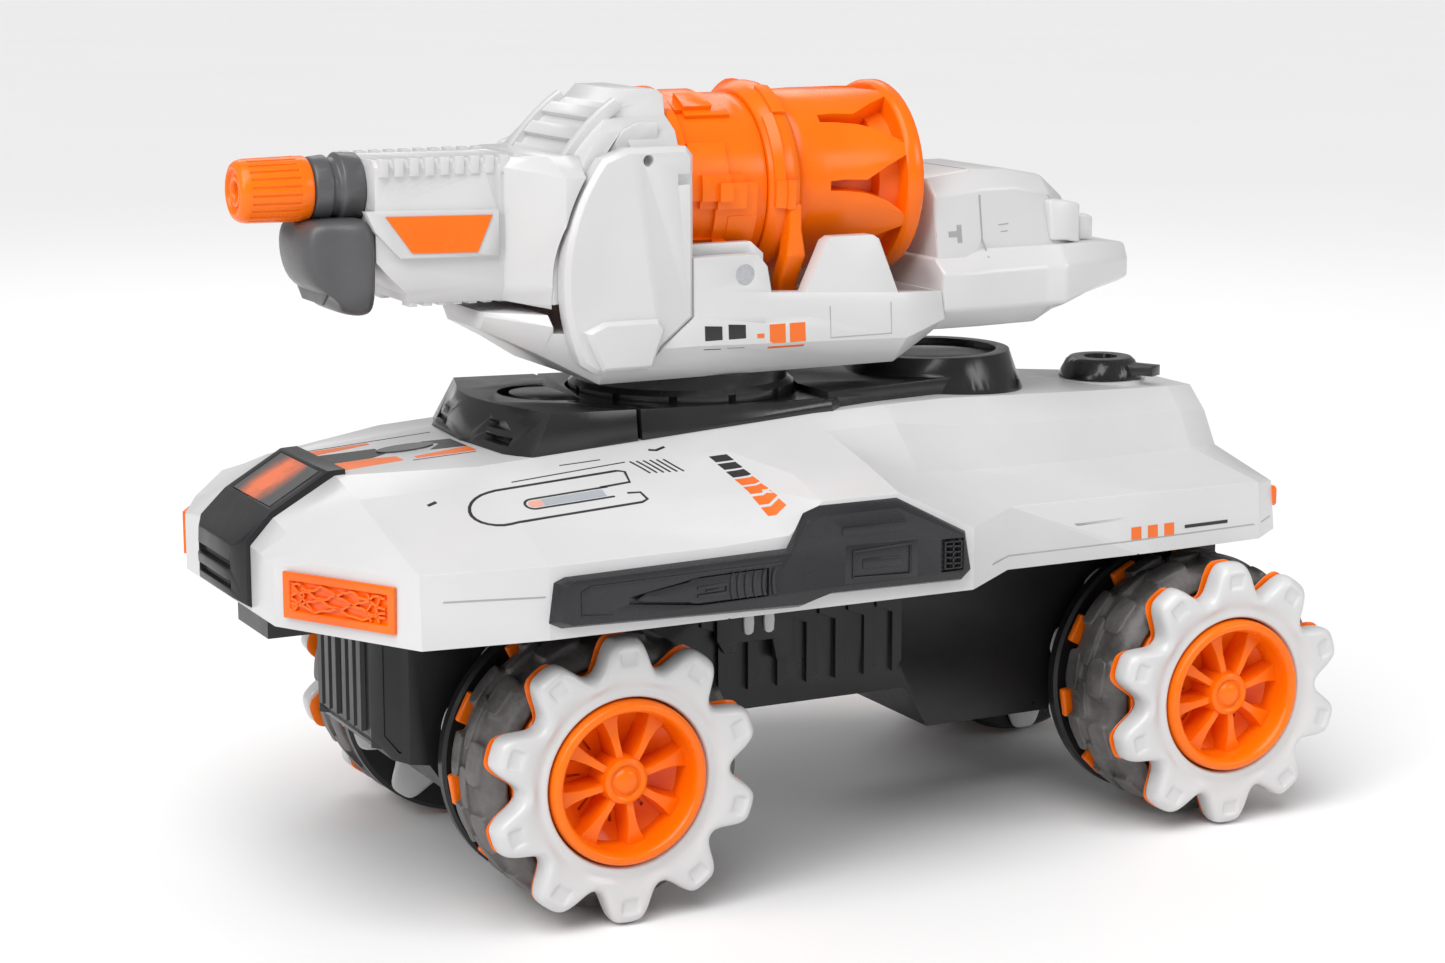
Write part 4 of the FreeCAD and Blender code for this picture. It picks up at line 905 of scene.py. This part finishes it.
# ---------------------------------------------------------------- lamps, skirts and small trim
def raised_strip(name, shapes, material, matrix, height, bevel=0.12):
    """Raised relief: flat shapes in mm in their own plane, thickened, softened and set in place."""
    mesh = bpy.data.meshes.new(name)
    verts, faces = [], []
    for shape in shapes:
        faces.append(list(range(len(verts), len(verts) + len(shape))))
        verts += [(u * MM, v * MM, 0.0) for u, v in shape]
    mesh.from_pydata(verts, [], faces)
    obj = bpy.data.objects.new(name, mesh)
    bpy.context.scene.collection.objects.link(obj)
    edit(obj)
    bpy.ops.mesh.select_all(action="SELECT")
    bpy.ops.mesh.remove_doubles(threshold=0.00001)
    bpy.ops.mesh.normals_make_consistent(inside=False)
    bpy.ops.mesh.extrude_region_move(TRANSFORM_OT_translate={"value": (0.0, 0.0, height * MM)})
    leave()
    outward(obj)
    if bevel:
        bevelled(obj, bevel, 2, 50.0)
    obj.data.transform(matrix)
    outward(obj)
    return finish_piece(obj, material, 40.0)


def wave(x0, x1, z, swing, turns, phase, count=26):
    return [(x0 + (x1 - x0) * i / (count - 1),
             z + swing * math.sin(phase + turns * 2.0 * math.pi * i / (count - 1))
             + 0.35 * swing * math.sin(2.3 * phase + turns * 5.1 * math.pi * i / (count - 1)))
            for i in range(count)]


def build_headlamp(side, hand):
    """Orange lamp panel: a raised rim round a sunk pane with an irregular moulded web."""
    node = "headlamp_" + hand
    low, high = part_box(node)
    run = Vector((low[0] - high[0], side * (high[1] - low[1]), 0.0)).normalized() * side
    out = Vector((abs(run.y), side * abs(run.x), 0.0))
    centre = middle(node)
    half_u, half_v = 18.5, 6.25
    base = block("lamp", (-half_u, -half_v, -0.7), (half_u, half_v, 0.75))
    edit(base)
    pick(base, lambda p: p.z > 0.7, "faces")
    bpy.ops.mesh.inset(thickness=2.2 * MM, depth=0.0)
    bpy.ops.mesh.inset(thickness=0.3 * MM, depth=-0.95 * MM)
    leave()
    bevelled(base, 0.35, 3, 50.0)
    matrix = Matrix(((run.x, 0.0, out.x, centre.x), (run.y, 0.0, out.y, centre.y),
                     (0.0, 1.0, 0.0, centre.z), (0.0, 0.0, 0.0, 1.0)))
    base.data.transform(matrix)
    outward(base)
    lines = [(wave(-15.6, 15.6, z, 0.75, 2.2 + 0.4 * i, 1.1 + 1.9 * i), 0.62)
             for i, z in enumerate((-2.6, -0.9, 0.9, 2.7))]
    lines += [([(-15.6, 3.4), (-8.0, -3.6)], 0.5), ([(-14.4, -3.6), (-11.2, 0.4), (-12.4, 3.6)], 0.5),
              ([(11.0, -3.6), (9.6, -1.0), (11.2, 1.0), (10.0, 3.6)], 0.5),
              ([(13.6, -3.6), (12.8, 0.2), (14.2, 3.6)], 0.5)]
    web = raised_strip("lamp_web", strokes(*lines), LENS, matrix @ Matrix.Translation((0.0, 0.0, -0.25 * MM)),
                       1.05, 0.0)
    obj = joined(node + "_moulded", [base, web])
    finish_piece(obj, LENS, 40.0)
    place(obj, "car", "orange_lens", node)


def build_skirt(side, hand):
    """Side guard with its sunk knife-shaped relief, ribs, grab bar and little lattice."""
    node = "side_skirt_" + hand
    dress(soften(node, 0.8, 3, 26.0), GUARD)
    face_y = max(abs(corner[1]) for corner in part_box(node)) / MM

    def relief(name, shapes, depth, height, bevel=0.2):
        strip = raised_strip(f"{name}_{hand}", shapes, GUARD, side_plane(side, face_y - depth), height, bevel)
        place(strip, "car", "black_plastic")

    blade = [(77.0, 92.9), (74.0, 94.6), (62.0, 96.2), (61.0, 96.9), (40.0, 97.4), (40.0, 90.4), (60.0, 90.2),
             (62.0, 90.8), (75.0, 92.3)]
    relief("guard_blade", [blade], 1.3, 1.0, 0.3)
    relief("guard_blade_spine", ribbon([(59.5, 94.4), (51.0, 94.7), (51.0, 92.4), (59.5, 92.2)], 0.8), 0.8, 0.95)
    relief("guard_blade_slot", ribbon([(57.0, 93.3), (53.0, 93.4)], 0.7), 0.8, 0.9)
    ribs = []
    for i in range(6):
        x = 48.6 - i * 1.9 - 0.12 * i * i
        arc = [(x + 0.9 * math.cos(math.radians(a)), 93.9 + 3.6 * math.sin(math.radians(a)))
               for a in range(-78, 79, 26)]
        ribs += ribbon(arc, 0.95)
    relief("guard_ribs", ribs, 0.95, 1.05, 0.3)
    frame_line = [(84.0, 89.6), (92.5, 90.3), (92.6, 96.6), (90.0, 97.9), (34.0, 98.6)]
    relief("guard_line", ribbon(frame_line, 0.5), 0.8, 0.45, 0.1)
    relief("guard_window_floor", [rect(14.8, -7.8, 90.6, 101.4)], 2.2, 1.6, 0.3)
    relief("guard_window", ribbon([(12.6, 92.2), (-5.6, 91.6), (-5.6, 100.2), (12.6, 99.6)], 0.7, True),
           0.3, 0.35, 0.1)
    relief("guard_grip", [[(9.6, 94.4), (-2.6, 94.2), (-2.6, 97.0), (9.6, 97.2)]], 1.1, 0.9, 0.4)
    lattice = ribbon([(-16.4, 91.8), (-21.6, 91.8), (-21.6, 99.2), (-16.4, 99.2)], 0.55, True)
    for i in range(4):
        lattice += ribbon([(-16.4, 93.4 + i * 1.6), (-21.6, 93.0 + i * 1.6)], 0.4)
    lattice += ribbon([(-19.0, 91.8), (-19.0, 99.2)], 0.4)
    relief("guard_lattice", lattice, 1.2, 1.0, 0.0)


# ---------------------------------------------------------------- turret rear, pod, webs and brackets
BODY_SIDE = 32.0           # side walls of the chassis tub, mm from the middle
STILL = (0.0, 0.0, 0.0)


def carved(name, low, high, cuts, moves, width):
    """Block cut into slabs at the given planes, then shaped: each move shifts the corners that pass its test
    in mm, and may scale them about a point."""
    obj = block(name, low, high)
    edit(obj)
    for axis, values in cuts.items():
        for value in values:
            slice_at("XYZ".index(axis), value)
    for test, shift, *grow in moves:
        pick(obj, test)
        bpy.ops.transform.translate(value=Vector(shift) * MM)
        if grow:
            scale, about = (grow + [STILL])[:2]
            bpy.ops.transform.resize(value=scale, center_override=Vector(about) * MM)
    leave()
    if width:
        bevelled(obj, width, 3, 20.0)
    return obj


def build_recoil_pod():
    """Bulging grey pod under the collar, with the strap that runs down round it."""
    pod = carved("recoil_pod_moulded", (118.6, -16.5, 160.4), (139.6, 16.5, 187.2),
                 {"X": (124.0, 132.0), "Z": (167.0, 179.0), "Y": (-8.0, 8.0)}, [
                     (lambda p: p.x > 138.0 and p.z < 162.0, (-9.5, 0.0, 5.5)),
                     (lambda p: p.x > 138.0 and 166.0 < p.z < 168.0, (-2.5, 0.0, 1.5)),
                     (lambda p: 131.0 < p.x < 133.0 and p.z < 162.0, (-1.5, 0.0, 1.8)),
                     (lambda p: p.x > 138.0 and p.z > 186.0, (-1.5, 0.0, -0.6)),
                     (lambda p: abs(p.y) > 16.0 and p.x > 130.0, (-2.0, 0.0, 0.0), (1.0, 0.84, 1.0)),
                     (lambda p: abs(p.y) > 12.0 and p.z < 162.0, STILL, (1.0, 0.74, 1.0))], 0.0)
    rounded(pod, 2)
    strap = carved("strap", (120.3, -15.2, 161.9), (125.2, 15.2, 186.3),
                   {"Z": (167.0, 180.0), "Y": (-9.0, 9.0)}, [
        (lambda p: abs(p.y) > 15.0 and p.z < 163.0, STILL, (1.0, 0.70, 1.0)),
        (lambda p: abs(p.y) > 15.0 and p.z > 185.0, STILL, (1.0, 0.80, 1.0)),
        (lambda p: 160.0 < p.z < 163.0 and abs(p.y) > 10.0, (0.0, 0.0, 1.6))], 1.2)
    seam = carved("seam", (131.6, -13.2, 163.9), (132.4, 13.2, 184.8),
                  {"Z": (168.0, 180.0), "Y": (-8.0, 8.0)}, [
        (lambda p: abs(p.y) > 13.0 and p.z < 165.0, STILL, (1.0, 0.62, 1.0)),
        (lambda p: abs(p.y) > 13.0 and p.z > 183.0, STILL, (1.0, 0.80, 1.0))], 0.25)
    obj = outward(joined("recoil_pod_moulded", [pod, strap, seam]))
    finish_piece(obj, GREY, 35.0)
    place(obj, "gun", "grey_plastic", "recoil_pod")


def build_hood_webs():
    """Side webs of the gun hood, behind the cheek's round front edge."""
    outline = [(40.0, 196.0), (58.6, 196.0), (57.6, 200.6), (54.0, 205.6), (50.4, 209.6), (46.0, 211.6),
               (40.0, 211.6)]
    for side, hand in SIDES:
        web = raised_strip("hood_web_" + hand, [outline], WHITE, side_plane(side, 24.6), 2.4, 0.3)
        place(web, "gun", "white_shell")


def build_brackets():
    """Bracket on each side of the chassis, and the two pale tabs of the shell that pass through it."""
    outline = [(1.0, 80.0), (26.0, 80.0), (26.0, 64.0), (23.6, 60.0), (20.4, 60.0), (19.0, 62.6), (8.0, 62.6),
               (6.6, 56.0), (3.4, 56.0), (1.0, 60.0)]
    radius, tab = 1.7, []
    for i in range(12):
        turn = i * math.pi / 6.0
        rise = 2.0 if 0 < i < 6 else -2.0 if i > 6 else 0.0
        tab.append((radius * math.cos(turn), 68.6 + rise + radius * math.sin(turn)))
    tabs = [[(x + u, v) for u, v in tab] for x in (9.4, 16.0)]
    for side, hand in SIDES:
        plate = raised_strip("bracket_" + hand, [outline], DARK, side_plane(side, BODY_SIDE + 0.6), 2.6, 0.5)
        place(plate, "car", "dark_plastic")
        pair = raised_strip("shell_tabs_" + hand, tabs, WHITE, side_plane(side, BODY_SIDE + 2.2), 1.8, 0.3)
        place(pair, "car", "white_shell")


def print_seams(shell, tray):
    """Fine seams and panel lines of the white mouldings, drawn as thin grey strips of painted shade rather than cut
    grooves, the same on both sides.
    """
    flank = strokes(([(95.0, 95.4), (128.0, 96.2)], 0.45), ([(-40.0, 88.0), (-150.0, 88.6)], 0.4))
    panel = ribbon([(-9.0, 158.6), (-9.0, 149.6), (-29.0, 149.6), (-29.0, 158.6)], 0.35)
    for side, hand in SIDES:
        laid_on(f"flank_seams_{hand}", flank, shell, side, SHADOW_GREY, thick=0.06, grid=4.0)
        laid_on(f"tray_panel_{hand}", panel, tray, side, SHADOW_GREY, "turret", thick=0.06, grid=4.0)


def build_turret_rear():
    """Rear housing: upper block with its seam and slot drawn as strips of painted shade, stepped shoulder, clip
    blocks and a faceted tail.
    """
    upper = carved("turret_rear_moulded", (-106.0, -27.5, 158.0), (-50.6, 27.5, 193.6),
                   {"X": (-66.0, -78.0, -92.0), "Z": (168.0, 186.0), "Y": (-19.0, 19.0)},
                   [(lambda p: p.z > 190.0 and abs(p.y) > 25.0, (0.0, 0.0, -5.0)),
                    (lambda p: p.z > 185.0 and abs(p.y) > 25.0, STILL, (1.0, 0.90, 1.0)),
                    (lambda p: p.x < -90.0 and p.z > 180.0, (0.0, 0.0, -2.6), (1.0, 0.90, 1.0)),
                    (lambda p: p.x < -104.0 and p.z > 180.0, (4.0, 0.0, -7.0), (1.0, 0.80, 1.0)),
                    (lambda p: p.x < -104.0, STILL, (1.0, 0.86, 1.0)),
                    (lambda p: p.x > -52.0 and p.z > 180.0, (0.0, 0.0, -2.0))], 1.1)
    tail = carved("tail", (-123.6, -33.0, 147.6), (-49.3, 33.0, 171.0),
                  {"X": (-60.0, -66.0, -86.0, -92.0, -106.0), "Z": (154.0, 165.0), "Y": (-22.0, 22.0)},
                  [(lambda p: p.z < 150.0, STILL, (1.0, 0.78, 1.0)),
                   (lambda p: p.z > 170.0, STILL, (1.0, 0.88, 1.0)),
                   (lambda p: p.x < -91.0 and p.z < 153.0, (0.0, 0.0, 3.2), (1.0, 0.92, 1.0)),
                   (lambda p: p.x < -104.0, STILL, (1.0, 0.86, 1.0)),
                   (lambda p: p.x < -104.0 and p.z < 157.0, (0.0, 0.0, 3.6)),
                   (lambda p: p.x < -122.0, STILL, (1.0, 0.66, 0.74), (0.0, 0.0, 163.0)),
                   (lambda p: -88.0 < p.x < -84.0 and abs(p.y) > 24.0, STILL, (1.0, 0.95, 1.0)),
                   (lambda p: p.x > -62.0 and p.z > 166.0, (0.0, 0.0, -2.0), (1.0, 0.94, 1.0))], 1.1)
    pieces = [upper, tail]
    for side, _ in SIDES:
        y0, y1 = sorted((side * 18.0, side * 27.4))
        clip = carved("clip", (-101.0, y0, 172.0), (-90.0, y1, 184.0), {"X": (-95.0,)},
                      [(lambda p: p.x < -100.0, (0.0, -side * 1.6, -1.4)),
                       (lambda p: p.z > 183.0, (0.0, -side * 1.4, 0.0))], 0.9)
        y0, y1 = sorted((side * 14.0, side * 22.0))
        lug = carved("lug", (-109.0, y0, 171.0), (-103.0, y1, 179.0), {"X": (-106.0,)},
                     [(lambda p: p.x < -108.0, (0.0, -side * 1.2, -1.2))], 0.8)
        pieces += [clip, lug]
    obj = outward(joined("turret_rear_moulded", pieces))
    finish_piece(obj, WHITE, 30.0)
    place(obj, "turret", "white_shell", "turret_rear")
    # painted shade: grey strips stand in for the shade in the seam, the slot and the fine grooves of the rear
    # housing
    for side, hand in SIDES:
        groove = strokes(([(-66.0, 168.6), (-66.0, 186.6)], 0.55),
                         ([(-50.8, 175.6), (-57.6, 175.6)], 1.7), ([(-58.4, 173.0), (-58.4, 178.2)], 1.6),
                         ([(-72.0, 177.6), (-75.4, 177.8)], 0.3), ([(-72.6, 175.6), (-75.0, 175.7)], 0.3))
        laid_on(f"rear_grooves_{hand}", groove, obj, side, SHADOW_GREY, "turret", thick=0.08, grid=5.0)
    seam = ribbon([(-66.0, -19.0), (-66.0, 19.0)], 0.5)
    laid_on("rear_seam_top", seam, obj, "Z", SHADOW_GREY, "turret", thick=0.08, grid=5.0)


# ---------------------------------------------------------------- floor, light, camera
def stage_floor():
    clear_selection()
    bpy.ops.mesh.primitive_plane_add(size=60.0, location=(0.0, 0.0, -0.0002))
    floor = bpy.context.object
    floor.name = "pale_floor"
    material, tree, shader = new_material("pale_floor")
    coords = object_coords(tree)
    cloud = noise(tree, coords, 3.0, 2.0)
    tree.links.new(tint(tree, cloud, (0.93, 0.93, 0.93), (0.96, 0.96, 0.96)), shader.inputs["Base Color"])
    shader.inputs["Roughness"].default_value = 0.6
    dress(floor, material)
    only(floor)
    bpy.ops.object.transform_apply(location=True, rotation=True, scale=True)


def soft_box(name, location, target, size, power):
    light = bpy.data.lights.new(name, "AREA")
    light.shape = "RECTANGLE"
    light.size, light.size_y = size
    light.energy = power
    obj = bpy.data.objects.new(name, light)
    bpy.context.scene.collection.objects.link(obj)
    obj.location = location
    aim = Vector(target) - Vector(location)
    obj.rotation_euler = aim.to_track_quat("-Z", "Y").to_euler()


def light_studio():
    world = bpy.data.worlds.new("studio")
    bpy.context.scene.world = world
    world.use_nodes = True
    background = world.node_tree.nodes["Background"]
    background.inputs["Color"].default_value = (1.0, 1.0, 1.0, 1.0)
    background.inputs["Strength"].default_value = 0.36
    bpy.context.scene.view_settings.view_transform = "Standard"
    sun = bpy.data.lights.new("overhead_diffuser", "SUN")
    sun.energy, sun.angle = 2.25, math.radians(50.0)
    overhead = bpy.data.objects.new("overhead_diffuser", sun)
    bpy.context.scene.collection.objects.link(overhead)
    overhead.rotation_euler = Vector((0.45, 0.42, 1.0)).to_track_quat("Z", "Y").to_euler()
    middle_of_car = (0.0, 0.0, 0.1)
    soft_box("left_softbox", (1.15, 0.55, 0.75), middle_of_car, (0.5, 0.7), 4.6)
    soft_box("right_softbox", (-0.9, 1.0, 0.7), middle_of_car, (0.6, 0.4), 3.0)
    soft_box("back_softbox", (-0.3, -1.1, 1.0), middle_of_car, (1.0, 0.6), 3.0)


def set_camera():
    azimuth, elevation, distance = math.radians(27.0), math.radians(11.0), 0.8889
    target = Vector((0.0063, 0.0, 0.1027))
    away = Vector((math.sin(azimuth) * math.cos(elevation), math.cos(azimuth) * math.cos(elevation),
                   math.sin(elevation)))
    data = bpy.data.cameras.new("camera")
    data.sensor_width, data.lens = 36.0, 74.74
    data.clip_start, data.clip_end = 0.01, 50.0
    camera = bpy.data.objects.new("camera", data)
    bpy.context.scene.collection.objects.link(camera)
    camera.location = target + away * distance
    camera.rotation_euler = away.to_track_quat("Z", "Y").to_euler()
    bpy.context.scene.camera = camera


stage_floor()
light_studio()
set_camera()

for node_name, node_obj in nodes.items():
    dress(node_obj, FINISHES[SLOT_OF[node_name]])

build_wheels()
build_drum_cage()
build_drum_collar()
build_lock_ring()
build_muzzle()
shell = build_shell()
print_hood_marks(shell)
print_centre_stripes(shell)
for side, hand in SIDES:
    build_headlamp(side, hand)
    build_skirt(side, hand)

build_turret_rear()
build_recoil_pod()
build_hood_webs()
build_brackets()

SOFT_EDGES = {
    "nose_cover": (0.6, 2), "deck_cover": (0.8, 2), "turret_tray": (0.8, 2),
    "gun_hood": (0.7, 2), "barrel_housing": (0.5, 2),
    "turret_cheek_left": (0.6, 2), "turret_cheek_right": (0.6, 2), "power_knob": (0.5, 2),
    "lower_chassis": (0.4, 1), "turntable": (0.4, 2), "barrel_collar": (0.3, 2)}
softened = {name: soften(name, width, segments) for name, (width, segments) in SOFT_EDGES.items()}
print_turret_marks(softened["turret_tray"])
print_seams(shell, softened["turret_tray"])
